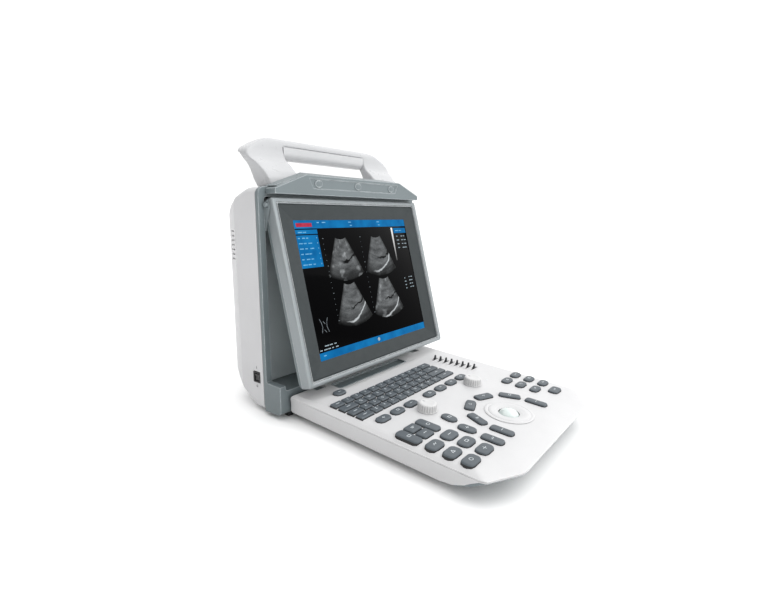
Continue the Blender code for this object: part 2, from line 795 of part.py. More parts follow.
def add_trackball(hinge):
    profile = []
    for step in range(1, 10):
        angle = math.pi * step / 10
        profile.append((BALL_RADIUS * math.sin(angle), -BALL_RADIUS * math.cos(angle)))
    profile = [(0.6, -BALL_RADIUS)] + profile + [(0.6, BALL_RADIUS)]
    add_object("trackball", turned(profile, 20), hinge, PEARL, (0, BALL_Y, BALL_Z))


def add_trackball_ring(hinge):
    """The ring around the ball: it drops into the cover, rests on it and curls in over the ball."""
    low = [(19.0, 2.0), (23.0, 2.0), (23.0, 10.35), (RING_RADIUS, 10.35), (29.5, 11.3)]
    lip = [(23.0, 11.9), (18.0, 11.4), (14.6, 10.2), (13.0, 9.6), (14.0, 7.4), (19.0, 7.4)]
    bm = bmesh.new()
    loops = [along_z(arc((0, 0), radius, 0, 360, 24)[:-1], z) for radius, z in low + lip]
    rings = loft(bm, loops, closed=False)
    bridge(bm, rings[-1], rings[0])
    add_object("trackball_ring", bm, hinge, WHITE, (0, BALL_Y, 0))


def add_knob(hinge, name, x):
    top = PANEL_TOP + KNOB_HEIGHT
    profile = [(4.0, 4.0), (4.0, PANEL_TOP + 0.4), (KNOB_RADIUS, PANEL_TOP + 0.4)]
    profile += [(KNOB_RADIUS - 0.6, top - 2.0), (KNOB_RADIUS - 2.2, top - 0.3), (0.6, top)]
    add_object(name, turned(profile, 36), hinge, WHITE, (x, KNOB_Y, 0))


def slider_place(index):
    share = index / (SLIDER_COUNT - 1)
    x = SLIDER_FIRST[0] + share * (SLIDER_LAST[0] - SLIDER_FIRST[0])
    y = SLIDER_FIRST[1] + share * (SLIDER_LAST[1] - SLIDER_FIRST[1])
    return x, y


def add_slider(hinge, index):
    x, y = slider_place(index)
    stem = box((-1.2, -0.7, 3.2), (1.2, 0.7, PANEL_TOP + 3))
    slider = add_object(f"gain_slider_{index + 1}", stem, hinge, BLACK, (x, y, 0))
    bm = bmesh.new()
    levels = ((2.6, 1.9, PANEL_TOP + 0.6), (2.2, 1.5, PANEL_TOP + 3.6), (1.3, 0.9, PANEL_TOP + 7.6))
    loft(bm, [along_z(rounded_rect(-a, a, -b, b, 0.6, 2), z) for a, b, z in levels])
    join(slider, helper(f"slider_cap_{index + 1}", bm, hinge, (x, y, 0)))


def key(x, y, width, depth, radius, turn=0.0, corner_steps=2):
    return {
        "at": (x, y),
        "size": (width, depth),
        "radius": radius,
        "turn": turn,
        "corner_steps": corner_steps,
    }


def key_outline(spec, grow=0.0):
    half_x = spec["size"][0] / 2 + grow
    half_y = spec["size"][1] / 2 + grow
    radius = min(spec["radius"] + grow, half_x - 0.05, half_y - 0.05)
    turn = math.radians(spec["turn"])
    points = []
    for x, y in rounded_rect(-half_x, half_x, -half_y, half_y, radius, spec["corner_steps"]):
        turned_x = x * math.cos(turn) - y * math.sin(turn)
        turned_y = x * math.sin(turn) + y * math.cos(turn)
        points.append((spec["at"][0] + turned_x, spec["at"][1] + turned_y))
    return points


def typing_key(left, right, y):
    return key((left + right) / 2 - 1, y, right - left - 2, 11.2, 1.4, 0.0, 0)


def typing_row(row):
    """A wide key at each end and equal keys between them."""
    y = TYPING_Y - row * TYPING_PITCH_Y
    start = TYPING_LEFT + FIRST_KEY_WIDTHS[row]
    edges = [start + index * TYPING_PITCH_X for index in range(INNER_KEYS[row] + 1)]
    edges = [TYPING_LEFT] + edges + [TYPING_RIGHT]
    return [typing_key(left, right, y) for left, right in zip(edges, edges[1:])]


def function_keys(first_x, count):
    return [key(first_x + 28.5 * i, OVAL_Y, 23, 12.5, 6) for i in range(count)]


def square_keys():
    keys = []
    for column in (-137.5, -106.9):
        keys += [key(column, -196.8 - 21.4 * i, 24, 15.5, 6) for i in range(3)]
    return keys


def image_keys():
    keys = []
    for column in (98.8, 130.0):
        keys += [key(column, -175.8 - 21.2 * i, 23, 12.5, 6) for i in range(3)]
    return keys + [key(116, -240.3, 24, 14, 5)]


def arrow_keys():
    x, y = -123.5, -167.0
    return [
        key(x - 19.2, y, 14.5, 31, 5),
        key(x + 19.2, y, 14.5, 31, 5),
        key(x, y + 8.2, 20, 14.6, 3),
        key(x, y - 8.2, 20, 14.6, 3),
    ]


def ring_keys(side):
    return [
        key(side * 19.0, BALL_Y + 44.6, 28, 13, 4, side * -21),
        key(side * 48.0, BALL_Y + 20.0, 12.5, 29, 4, side * 23),
        key(side * 54.0, BALL_Y - 14.5, 12.5, 29, 4),
    ]


def measure_keys():
    return [
        key(-70.0, -175.4, 14, 21, 6.5, -8),
        key(-79.0, -204.2, 14, 23, 6.5),
        key(-81.0, -237.0, 13.5, 27, 4.5),
    ]


def key_groups():
    groups = {f"typing_keys_row_{row + 1}": typing_row(row) for row in range(4)}
    groups["power_key"] = [key(-110.0, -35.6, 20, 12.5, 6)]
    groups["function_keys_left"] = function_keys(-127.5, 3)
    groups["function_keys_right"] = function_keys(-27.0, 4)
    groups["image_keys"] = image_keys()
    groups["arrow_keys"] = arrow_keys()
    groups["measure_keys"] = measure_keys()
    groups["square_keys"] = square_keys()
    groups["ball_keys_left"] = ring_keys(-1)
    groups["ball_keys_right"] = ring_keys(1)
    return groups


def key_openings():
    cutters = [channel_opening()]
    for keys in key_groups().values():
        for spec in keys:
            cutters.append(prism(along_z, key_outline(spec, KEY_CLEAR), 4, 20))
    cutters.append(cylinder(along_z, (0, BALL_Y), 23.6, 0, 20, 40))
    for x in (KNOB_LEFT_X, KNOB_RIGHT_X):
        cutters.append(cylinder(along_z, (x, KNOB_Y), 5, 0, 20, 20))
    for index in range(SLIDER_COUNT):
        x, y = slider_place(index)
        reach = SLIDER_TRAVEL + 2
        cutters.append(box((x - reach, y - 1.3, 0), (x + reach, y + 1.3, 20)))
    return merged(*cutters)


def cap_solid(spec):
    """One key cap: straight sides that start inside the web, and a softened top edge."""
    bm = bmesh.new()
    top = PANEL_TOP + KEY_PROUD
    levels = ((0.0, WEB_TOP - 1), (0.0, top - 1.0), (-1.2, top))
    loft(bm, [along_z(key_outline(spec, grow), z) for grow, z in levels])
    return bm


def link_bar(first, second, half_width):
    """A strip of web between two key centres."""
    a, b = Vector(first["at"]), Vector(second["at"])
    along = (b - a).normalized()
    across = Vector((-along.y, along.x)) * half_width
    corners = [a - across, b - across, b + across, a + across]
    outline = [(point.x, point.y) for point in corners]
    return prism(along_z, outline, WEB_TOP - WEB_THICK, WEB_TOP)


def add_key_group(hinge, name, keys):
    """Keys moulded on one rubber web: the web runs under the cover and the caps stand through it."""
    first = keys[0]["at"]
    web = prism(along_z, key_outline(keys[0], 0.2), WEB_TOP - WEB_THICK, WEB_TOP)
    group = add_object(name, moved(web, (-first[0], -first[1], 0)), hinge, KEY_GREY, (*first, 0))
    for index, (one, two) in enumerate(web_links(keys)):
        join(group, helper(f"{name}_link_{index + 1}", link_bar(one, two, 3.0), hinge))
    caps = merged(*(cap_solid(spec) for spec in keys))
    join(group, helper(name + "_caps", caps, hinge))


def web_links(keys):
    """Pairs to join: each key to the nearest one before it; a straight row needs one long strip."""
    if len(keys) > 8:
        return [(keys[0], keys[-1])]
    links = []
    for index in range(1, len(keys)):
        here = Vector(keys[index]["at"])
        near = min(keys[:index], key=lambda spec: (Vector(spec["at"]) - here).length)
        links.append((keys[index], near))
    return links


def add_panel_feet(hinge):
    for side, name in ((-1, "panel_foot_left"), (1, "panel_foot_right")):
        bottom = GROUND_Z - HINGE_Z
        centre = (side * 118, -205)
        foot = cylinder(along_z, centre, 7, bottom, PANEL_BOTTOM - GAP, 24)
        add_object(name, foot, hinge, RUBBER)


def main():
    clear_scene()
    stand = empty("stand", None, (0, CENTRE_Y, -GROUND_Z))
    lean = empty("lean", stand, (0, 0, 0), -BODY_LEAN)
    pivot = empty("display_pivot", lean, (0, PIVOT_Y, PIVOT_Z), -DISPLAY_TILT)
    hinge = empty("panel_hinge", stand, (0, HINGE_Y, HINGE_Z))
    add_front_frame(lean)
    add_mid_housing(lean)
    add_rear_cover(lean)
    add_bulkhead(lean)
    add_brow(lean)
    add_handle(lean)
    add_switch(lean)
    for index, x in enumerate(SOCKET_X):
        add_probe_socket(lean, f"probe_socket_{index + 1}", x)
    add_mains_inlet(lean)
    add_battery(lean)
    add_internals(lean)
    add_fan(lean)
    add_feet(stand)
    add_display(pivot)
    add_display_hinges(pivot)
    add_display_carrier(pivot)
    add_top_cover(hinge)
    add_panel_base(hinge)
    add_panel_hinge_pins(hinge)
    add_channel(hinge)
    add_key_board(hinge)
    add_trackball(hinge)
    add_trackball_ring(hinge)
    add_knob(hinge, "dial_left", KNOB_LEFT_X)
    add_knob(hinge, "dial_right", KNOB_RIGHT_X)
    for index in range(SLIDER_COUNT):
        add_slider(hinge, index)
    for name, keys in key_groups().items():
        add_key_group(hinge, name, keys)
    add_panel_feet(hinge)


main()
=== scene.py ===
"""Looks for the portable ultrasound scanner: pieces, materials, studio and camera.

Pieces are modelled in millimetres in the frame of the part they belong to, and placed in the row
frame, in metres, by one of three matrices: CASE leans back with the main unit, SCREEN hangs from
the display's hinges and PANEL has its origin on the control panel's hinge axis. Their origins
come from the joints.
"""

import json
import math

import bmesh
import bpy
from mathutils import Matrix, Vector


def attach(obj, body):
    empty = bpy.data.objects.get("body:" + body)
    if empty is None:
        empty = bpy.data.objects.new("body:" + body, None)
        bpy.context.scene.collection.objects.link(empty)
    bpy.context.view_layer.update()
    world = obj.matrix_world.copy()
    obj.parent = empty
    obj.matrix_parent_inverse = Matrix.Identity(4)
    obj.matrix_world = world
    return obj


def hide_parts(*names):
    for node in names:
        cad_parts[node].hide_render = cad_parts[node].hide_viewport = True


MM = 0.001
DISPLAY_TILT = math.radians(13.7)
PIVOT_IN_CASE = Vector((0, 29.3, 108.4))
CAP_TOP = 13.6
TYPING_FACE = 12.55
DOMED_FACE = 12.9
WEB_TOP = 6.2
CAP_INSET = 1.2
SKIRT_TOP = 11.0
BALL_Y = -221.5
KNOB_PLACES = {"dial_left": (-69.0, -143.5), "dial_right": (51.0, -143.5)}
SLIDER_FIRST = (99.0, -52.0)
SLIDER_STEP = (11.0 / 7, -64.0 / 7)
SCREEN_MIDDLE = -112.3
SCREEN_FACE = -2.8
SCREEN_HALF = (122.9, 92.15)
MOUTH_HALF = (146.0, 111.0)
LETTERS = {
    "typing_keys_row_1": "1234567890",
    "typing_keys_row_2": "QWERTYUIO",
    "typing_keys_row_3": "ASDFGHJKL",
    "typing_keys_row_4": "ZXCVBNMPU",
}

CAMERA_PLACE = (-0.5553, -0.3565, 0.2966)
CAMERA_YAW = 54.1
CAMERA_PITCH = 12.3
CAMERA_ROLL = 4.22
CAMERA_LENS = 23.13
CAMERA_SHIFT = (-0.0113, 0.0018)

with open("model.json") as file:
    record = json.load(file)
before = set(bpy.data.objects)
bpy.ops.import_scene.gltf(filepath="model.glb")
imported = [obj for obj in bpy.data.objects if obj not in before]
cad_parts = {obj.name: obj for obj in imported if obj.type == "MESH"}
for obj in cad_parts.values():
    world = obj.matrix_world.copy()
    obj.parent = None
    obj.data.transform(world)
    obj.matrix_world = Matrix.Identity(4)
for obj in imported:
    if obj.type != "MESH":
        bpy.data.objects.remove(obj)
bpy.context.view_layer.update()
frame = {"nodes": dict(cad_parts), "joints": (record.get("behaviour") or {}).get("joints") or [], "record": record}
joints = {joint["name"]: joint for joint in frame["joints"]}
body_of = {}
for body_name, body_nodes in frame["record"]["behaviour"]["bodies"].items():
    for node_name in body_nodes:
        body_of[node_name] = body_name
slot_of = {part["node"]: part["material_slot"] for part in frame["record"]["subparts"]}


def placed(origin, lean):
    """A part's own millimetres brought to metres, tilted about X and set at the origin given."""
    return Matrix.Translation(origin) @ Matrix.Rotation(-lean, 4, "X") @ Matrix.Scale(MM, 4)


fan_axis = joints["fan_spin"]["axis"]
CASE_LEAN = math.atan2(-fan_axis[2], fan_axis[1])
pivot = Vector(joints["display_push_home"]["pos_m"])
SCREEN = placed(pivot, CASE_LEAN + DISPLAY_TILT)
CASE = placed(pivot, CASE_LEAN) @ Matrix.Translation(-PIVOT_IN_CASE)
PANEL = placed(Vector(joints["panel_fold"]["pos_m"]), 0)


# ---------------------------------------------------------------- materials


def add(tree, kind, inputs=None, **settings):
    """A node with its settings; an input is a value, or the socket that feeds it."""
    node = tree.nodes.new(kind)
    for key, value in settings.items():
        setattr(node, key, value)
    for key, value in (inputs or {}).items():
        if isinstance(value, bpy.types.NodeSocket):
            tree.links.new(value, node.inputs[key])
        else:
            node.inputs[key].default_value = value
    return node


def new_material(name, **constants):
    """A Principled material, with its node tree, its shader and object coordinates."""
    made = bpy.data.materials.new(name)
    made.use_nodes = True
    tree = made.node_tree
    shader = tree.nodes["Principled BSDF"]
    for key, value in constants.items():
        shader.inputs[key.replace("_", " ")].default_value = value
    where = add(tree, "ShaderNodeTexCoord").outputs["Object"]
    return made, tree, shader, where


def noise(tree, where, scale, detail=3.0, roughness=0.5):
    inputs = {"Vector": where, "Scale": scale, "Detail": detail, "Roughness": roughness}
    return add(tree, "ShaderNodeTexNoise", inputs).outputs["Fac"]


def ranged(tree, value, low, high, start=0.3, end=0.7):
    """The value mapped from start..end to low..high."""
    inputs = {"Value": value, "From Min": start, "From Max": end, "To Min": low, "To Max": high}
    return add(tree, "ShaderNodeMapRange", inputs).outputs["Result"]


def maths(tree, operation, first, second=0.5):
    """One arithmetic node; each input is a number or a socket."""
    return add(tree, "ShaderNodeMath", {0: first, 1: second}, operation=operation).outputs[0]


def blend_colour(tree, share, first, second):
    """A mix of two colours, each a tuple or a socket."""
    node = add(tree, "ShaderNodeMix", data_type="RGBA")
    values = (node.inputs[0], share), (node.inputs[6], first), (node.inputs[7], second)
    for socket, value in values:
        if isinstance(value, bpy.types.NodeSocket):
            tree.links.new(value, socket)
        elif isinstance(value, tuple):
            socket.default_value = (*value, 1.0)
        else:
            socket.default_value = value
    return node.outputs[2]


def scaled(colour, factor):
    return tuple(min(channel * factor, 1.0) for channel in colour)


def edge_highlight_and_wear(tree, radius):
    """1 on edges and corners, where a highlight is painted that stands also for rubbing, 0 on flats:
    a rounded normal leans from the true one.
    """
    softened = add(tree, "ShaderNodeBevel", {"Radius": radius}, samples=4).outputs["Normal"]
    true = add(tree, "ShaderNodeNewGeometry").outputs["Normal"]
    inputs = {0: softened, 1: true}
    product = add(tree, "ShaderNodeVectorMath", inputs, operation="DOT_PRODUCT")
    return ranged(tree, product.outputs["Value"], 1.0, 0.0, 0.93, 0.995)


def plastic(name, colour, roughness, grain=0.25, cell=0.0007, mottle=0.035, highlight_and_wear=None, **constants):
    """Moulded plastic: spark-eroded grain, cloudy tone, handling marks in the gloss and, where an edge
    colour is given, painted shade in the corners, standing also for grime, and edges paled towards
    that colour, a painted highlight standing also for rubbing."""
    made, tree, shader, where = new_material(name, **constants)
    clouds = noise(tree, where, 14.0, 4.0)
    pores = noise(tree, where, 1 / cell, 2.0, 0.6)
    smears = noise(tree, where, 70.0, 5.0, 0.65)
    tone = blend_colour(
        tree, ranged(tree, clouds, 0.0, 1.0), scaled(colour, 1 - mottle), scaled(colour, 1 + mottle)
    )
    tone = blend_colour(tree, ranged(tree, pores, 0.0, 0.5), tone, scaled(colour, 0.93))
    gloss = ranged(tree, smears, roughness - 0.06, roughness + 0.09)
    if highlight_and_wear:
        # Painted shade: the colour darkens towards 0.62 of itself in corners found by ambient occlusion, standing
        # also for grime.
        corners = add(tree, "ShaderNodeAmbientOcclusion", {"Distance": 0.006}, samples=4)
        corner_shade_and_dust = ranged(tree, corners.outputs["AO"], 0.45, 0.0, 0.2, 0.95)
        tone = blend_colour(tree, corner_shade_and_dust, tone, scaled(colour, 0.62))
        # Painted highlight: edges and corners pale towards the edge colour, standing also for rubbing, and turn a
        # little glossier.
        highlit_and_rubbed = maths(tree, "MULTIPLY", edge_highlight_and_wear(tree, 0.0014), ranged(tree, smears, 0.25, 0.8))
        tone = blend_colour(tree, highlit_and_rubbed, tone, highlight_and_wear)
        gloss = maths(tree, "SUBTRACT", gloss, maths(tree, "MULTIPLY", highlit_and_rubbed, 0.1))
    tree.links.new(tone, shader.inputs["Base Color"])
    tree.links.new(gloss, shader.inputs["Roughness"])
    bump = add(tree, "ShaderNodeBump", {"Height": pores, "Strength": grain, "Distance": 0.00012})
    tree.links.new(bump.outputs["Normal"], shader.inputs["Normal"])
    return made


def brushed(name, colour, roughness):
    """Machined steel: fine grooves along X."""
    made, tree, shader, where = new_material(name, Metallic=1.0, Anisotropic=0.4)
    stretched = add(tree, "ShaderNodeMapping", {"Vector": where, "Scale": (30, 2500, 2500)})
    grooves = noise(tree, stretched.outputs["Vector"], 1.0, 3.0)
    tone = blend_colour(tree, ranged(tree, grooves, 0, 1), scaled(colour, 0.8), scaled(colour, 1.1))
    tree.links.new(tone, shader.inputs["Base Color"])
    gloss = ranged(tree, grooves, roughness - 0.08, roughness + 0.1)
    tree.links.new(gloss, shader.inputs["Roughness"])
    bump = add(tree, "ShaderNodeBump", {"Height": grooves, "Strength": 0.2, "Distance": 0.00005})
    tree.links.new(bump.outputs["Normal"], shader.inputs["Normal"])
    return made


def glowing(name, dim, bright, strength=1.0, scale=160.0):
    """A lit area of the picture whose tone drifts between two colours."""
    made, tree, shader, where = new_material(name, Roughness=0.25, Base_Color=(0, 0, 0, 1))
    tone = blend_colour(tree, ranged(tree, noise(tree, where, scale, 2.0), 0, 1), dim, bright)
    tree.links.new(tone, shader.inputs["Emission Color"])
    shader.inputs["Emission Strength"].default_value = strength
    shader.inputs["Specular IOR Level"].default_value = 0.02
    return made


def shifted(tree, where, seed, stretch):
    """Coordinates moved by the seed, so that each sector has its own noise."""
    inputs = {"Vector": where, "Location": (seed, seed * 2.3, 0), "Scale": stretch}
    return add(tree, "ShaderNodeMapping", inputs).outputs["Vector"]


def echo(name, seed, boundary, patches):
    """A sector of ultrasound speckle: layered tissue, a bright curved boundary, a dark vessel."""
    made, tree, shader, _ = new_material(name, Roughness=0.3, Base_Color=(0, 0, 0, 1))
    polar = add(tree, "ShaderNodeUVMap", uv_map="sector").outputs["UV"]
    across, depth, _ = add(tree, "ShaderNodeSeparateXYZ", {"Vector": polar}).outputs
    speckle = noise(tree, shifted(tree, polar, seed, (22, 60, 1)), 1.0, 4.0, 0.7)
    layers = noise(tree, shifted(tree, polar, seed, (2.5, 9, 1)), 1.0, 3.0)
    wander = noise(tree, shifted(tree, polar, seed, (4, 4, 1)), 1.0, 2.0)
    # Tissue: it fades with depth and towards the sector's two sides.
    grain = ranged(tree, speckle, 0.55, 1.35)
    tissue = maths(tree, "MULTIPLY", ranged(tree, layers, 0.07, 0.2), grain)
    tissue = maths(tree, "MULTIPLY", tissue, ranged(tree, depth, 1.0, 0.03, 0.66, 1.0))
    off_middle = maths(tree, "ABSOLUTE", maths(tree, "SUBTRACT", across, 0.5))
    tissue = maths(tree, "MULTIPLY", tissue, ranged(tree, off_middle, 1.0, 0.25, 0.4, 0.5))
    # The boundary: a bright line that rises to one side.
    rise = maths(tree, "MULTIPLY", maths(tree, "POWER", across, 2.0), 0.36)
    bend = maths(tree, "SUBTRACT", boundary, rise)
    bend = maths(tree, "ADD", bend, ranged(tree, wander, -0.03, 0.03))
    off_line = maths(tree, "ABSOLUTE", maths(tree, "SUBTRACT", depth, bend))
    line = ranged(tree, off_line, 0.6, 0.0, 0.006, 0.03)
    line = maths(tree, "MULTIPLY", line, ranged(tree, across, 0, 1, 0.2, 0.4))
    # The vessel: a dark band with wavy walls, in one half of the sector.
    vessel = maths(tree, "SUBTRACT", 0.6, maths(tree, "MULTIPLY", across, 0.12))
    wavy_depth = maths(tree, "ADD", depth, ranged(tree, wander, -0.06, 0.06))
    off_vessel = maths(tree, "ABSOLUTE", maths(tree, "SUBTRACT", wavy_depth, vessel))
    hollow = ranged(tree, off_vessel, 0.05, 1.0, 0.014, 0.03)
    hollow = maths(tree, "MAXIMUM", hollow, ranged(tree, across, 1, 0, 0.35, 0.5))
    blobs = ranged(tree, wander, 0.0, patches, 0.55, 0.75)
    blobs = maths(tree, "MULTIPLY", blobs, ranged(tree, speckle, 0.5, 1.2))
    glow = maths(tree, "MULTIPLY", maths(tree, "ADD", tissue, blobs), hollow)
    line = maths(tree, "MULTIPLY", line, ranged(tree, speckle, 0.6, 1.2))
    glow = maths(tree, "ADD", glow, line)
    tree.links.new(glow, shader.inputs["Emission Strength"])
    shader.inputs["Emission Color"].default_value = (0.92, 0.97, 1.0, 1.0)
    shader.inputs["Specular IOR Level"].default_value = 0.02
    return made


# Edge colours, paler than their surfaces: painted highlights along edges, which stand also for rubbing.
HIGHLIT_RUBBED_WHITE = (0.75, 0.75, 0.75)
HIGHLIT_RUBBED_SILVER = (0.8, 0.82, 0.83)
HIGHLIT_RUBBED_GREY = (0.6, 0.64, 0.66)
HIGHLIT_RUBBED_KEY = (0.24, 0.27, 0.29)
FINISHES = {
    "housing_white": plastic("housing_white_plastic", (0.53, 0.53, 0.54), 0.42, highlight_and_wear=HIGHLIT_RUBBED_WHITE),
    "panel_white": plastic("panel_white_plastic", (0.54, 0.54, 0.545), 0.4, highlight_and_wear=HIGHLIT_RUBBED_WHITE),
    "grip_white": plastic("grip_white_plastic", (0.53, 0.535, 0.545), 0.36, grain=0.12),
    "frame_grey": plastic(
        "frame_grey_plastic", (0.14, 0.168, 0.177), 0.4, grain=0.3, highlight_and_wear=HIGHLIT_RUBBED_GREY
    ),
    "display_silver": plastic(
        "display_silver_paint", (0.25, 0.275, 0.285), 0.34, 0.08, 0.0005, 0.02, HIGHLIT_RUBBED_SILVER,
        Metallic=0.4,
    ),
    "bezel_dark": plastic(
        "bezel_dark_plastic", (0.024, 0.031, 0.033), 0.55, grain=0.3, Specular_IOR_Level=0.35
    ),
    "screen": plastic("screen_glass", (0.0008, 0.0008, 0.001), 0.1, 0.02, Specular_IOR_Level=0.02),
    "key_grey": plastic(
        "key_grey_rubber", (0.066, 0.08, 0.092), 0.5, 0.3, 0.0004, highlight_and_wear=HIGHLIT_RUBBED_KEY
    ),
    "slider_black": plastic("slider_black_plastic", (0.03, 0.033, 0.036), 0.4),
    "dial_white": plastic(
        "dial_white_plastic", (0.55, 0.55, 0.55), 0.35, grain=0.1, highlight_and_wear=HIGHLIT_RUBBED_WHITE
    ),
    "ball_pearl": plastic(
        "ball_pearl_plastic", (0.6, 0.67, 0.65), 0.12, grain=0.02, Coat_Weight=0.6
    ),
    "rubber_black": plastic("rubber_black_rubber", (0.02, 0.02, 0.021), 0.75, grain=0.4),
    "plastic_black": plastic("plastic_black_plastic", (0.014, 0.014, 0.015), 0.38),
    "socket_grey": plastic("socket_grey_plastic", (0.05, 0.055, 0.06), 0.45),
    "board_green": plastic("board_green_mask", (0.02, 0.16, 0.07), 0.3, grain=0.5, cell=0.002),
    "steel": brushed("steel_metal", (0.55, 0.55, 0.57), 0.3),
}
# Far paler than the frame's grey: painted light for the bulkhead, which sits in shade deep behind the display.
BULKHEAD_LIT_GREY = plastic("bulkhead_lit_grey_plastic", (0.46, 0.515, 0.53), 0.5, grain=0.3)
PAINTED_STEEL = plastic("painted_steel_enamel", (0.2, 0.23, 0.24), 0.4, grain=0.15)
HANDLE_WHITE = plastic("handle_white_plastic", (0.44, 0.445, 0.455), 0.3, grain=0.12)
LEGEND = plastic("legend_ink", (0.62, 0.66, 0.68), 0.5, grain=0.1)
PICTURE_BLUE = glowing("picture_blue", (0.003, 0.13, 0.36), (0.006, 0.2, 0.5), 1.0, 60.0)
PICTURE_RED = glowing("picture_red", (0.42, 0.02, 0.05), (0.55, 0.05, 0.1))
PICTURE_WHITE = glowing("picture_white", (0.22, 0.3, 0.34), (0.55, 0.66, 0.72), 1.0, 900.0)
PICTURE_PALE = glowing("picture_pale_blue", (0.08, 0.38, 0.68), (0.3, 0.6, 0.85), 1.0, 700.0)
PICTURE_DIM = glowing("picture_dim", (0.09, 0.11, 0.13), (0.3, 0.33, 0.35), 1.0, 700.0)


# -------------------------------------------------------------- mesh makers


def along_x(outline, x):
    return [(x, y, z) for y, z in outline]


def along_y(outline, y):
    return [(x, y, z) for x, z in outline]


def along_z(outline, z):
    return [(x, y, z) for x, y in outline]


def arc(centre, radius, start, end, steps):
    angles = [math.radians(start + (end - start) * i / steps) for i in range(steps + 1)]
    return [(centre[0] + radius * math.cos(a), centre[1] + radius * math.sin(a)) for a in angles]


def rounded(half_x, half_y, radius, centre=(0, 0), turn=0.0, steps=5):
    """A rounded rectangle, turned about its centre."""
    radius = max(min(radius, half_x - 0.02, half_y - 0.02), 0.02)
    points = []
    for start, side_x, side_y in ((0, 1, 1), (90, -1, 1), (180, -1, -1), (270, 1, -1)):
        corner = (side_x * (half_x - radius), side_y * (half_y - radius))
        points += arc(corner, radius, start, start + 90, steps)
    c, s = math.cos(turn), math.sin(turn)
    return [(centre[0] + x * c - y * s, centre[1] + x * s + y * c) for x, y in points]


def circle(radius, centre=(0, 0), count=48):
    return arc(centre, radius, 0, 360, count)[:-1]


def loft(bm, loops, closed=True):
    """A skin over the loops in order; its ends are filled unless closed is False."""
    rings = [[bm.verts.new(point) for point in loop] for loop in loops]
    for lower, upper in zip(rings, rings[1:]):
        bridge(bm, lower, upper)
    if closed:
        bm.faces.new(rings[0])
        bm.faces.new(rings[-1])
    return rings


def bridge(bm, first, second):
    """Four-sided faces between two loops of equal length."""
    count = len(first)
    for i in range(count):
        j = (i + 1) % count
        bm.faces.new((first[i], first[j], second[j], second[i]))


def hoop(bm, loops):
    """A ring-shaped body: the last loop joins the first."""
    rings = loft(bm, loops, closed=False)
    bridge(bm, rings[-1], rings[0])


def prism(bm, spread, outline, start, end):
    """A flat outline pushed from start to end."""
    loft(bm, [spread(outline, start), spread(outline, end)])


def box(bm, low, high):
    outline = [(low[0], low[1]), (high[0], low[1]), (high[0], high[1]), (low[0], high[1])]
    prism(bm, along_z, outline, low[2], high[2])


def turned(bm, spread, profile, centre, count=48):
    """A body of revolution from (radius, height) pairs."""
    loft(bm, [spread(circle(radius, centre, count), height) for radius, height in profile])


def stroke(bm, spread, start, end, width, low, high):
    """A flat bar between two points of a plane."""
    a, b = Vector(start), Vector(end)
    along = (b - a).normalized()
    across = Vector((-along.y, along.x)) * (width / 2)
    reach = along * (width / 4)
    corners = (a - reach - across, b + reach - across, b + reach + across, a - reach + across)
    prism(bm, spread, [tuple(corner) for corner in corners], low, high)


def path_strokes(bm, spread, points, width, low, high):
    """Flat bars along a broken line."""
    for start, end in zip(points, points[1:]):
        stroke(bm, spread, start, end, width, low, high)


def piece(name, bm, place, body, slot, stands_for=(), finish=None, smooth=40):
    """A finished piece that rides on its body, from a mesh in millimetres in its part's frame."""
    bmesh.ops.recalc_face_normals(bm, faces=bm.faces)
    bm.transform(place)
    mesh = bpy.data.meshes.new(name)
    bm.to_mesh(mesh)
    bm.free()
    mesh.shade_smooth()
    mesh.set_sharp_from_angle(angle=math.radians(smooth))
    mesh.materials.append(finish or FINISHES[slot])
    made = bpy.data.objects.new(name, mesh)
    bpy.context.scene.collection.objects.link(made)
    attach(made, body)
    if stands_for:
        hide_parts(*stands_for)
    return made


def joined(node):
    """A CAD node's triangles in one closed mesh, in metres."""
    bm = bmesh.new()
    bm.from_mesh(frame["nodes"][node].data)
    bmesh.ops.remove_doubles(bm, verts=bm.verts, dist=2e-6)
    return bm


def flat_faced(node):
    """A CAD node's mesh with its triangles merged into flat faces."""
    bm = joined(node)
    flat = math.radians(0.6)
    bmesh.ops.dissolve_limit(bm, angle_limit=flat, verts=bm.verts, edges=bm.edges)
    return bm


def refined(node, radius, segments=3, angle=30, finish=None):
    """The CAD node's own shape with its edges rounded, standing in for it."""
    bm = flat_faced(node)
    sharp = [e for e in bm.edges if e.is_manifold and e.calc_face_angle(0) > math.radians(angle)]
    bmesh.ops.bevel(
        bm, geom=sharp, offset=radius * MM, offset_type="OFFSET", segments=segments,
        profile=0.5, affect="EDGES", clamp_overlap=True,
    )
    name = node + "_finished"
    made = piece(name, bm, Matrix.Identity(4), body_of[node], slot_of[node], (node,), finish)
    made.modifiers.new("flat_faces_look_flat", "WEIGHTED_NORMAL").keep_sharp = True
    return made


# --------------------------------------------------------------- main unit


def add_handle_grip():
    """The lower half of the bar: round below, with a thin seam along its top."""
    seam = 189.2
    section = [(77.4, seam), (76.5, seam - 0.5)] + arc((86.0, 181.2), 9.8, 180, 270, 12)
    section += arc((89.5, 179.9), 8.4, 270, 360, 10) + [(97.9, seam - 0.5), (97.2, seam)]
    bm = bmesh.new()
    prism(bm, along_x, section, -84.9, 84.9)
    piece("handle_grip_finished", bm, CASE, "main_unit", "grip_white", ("handle_grip",))


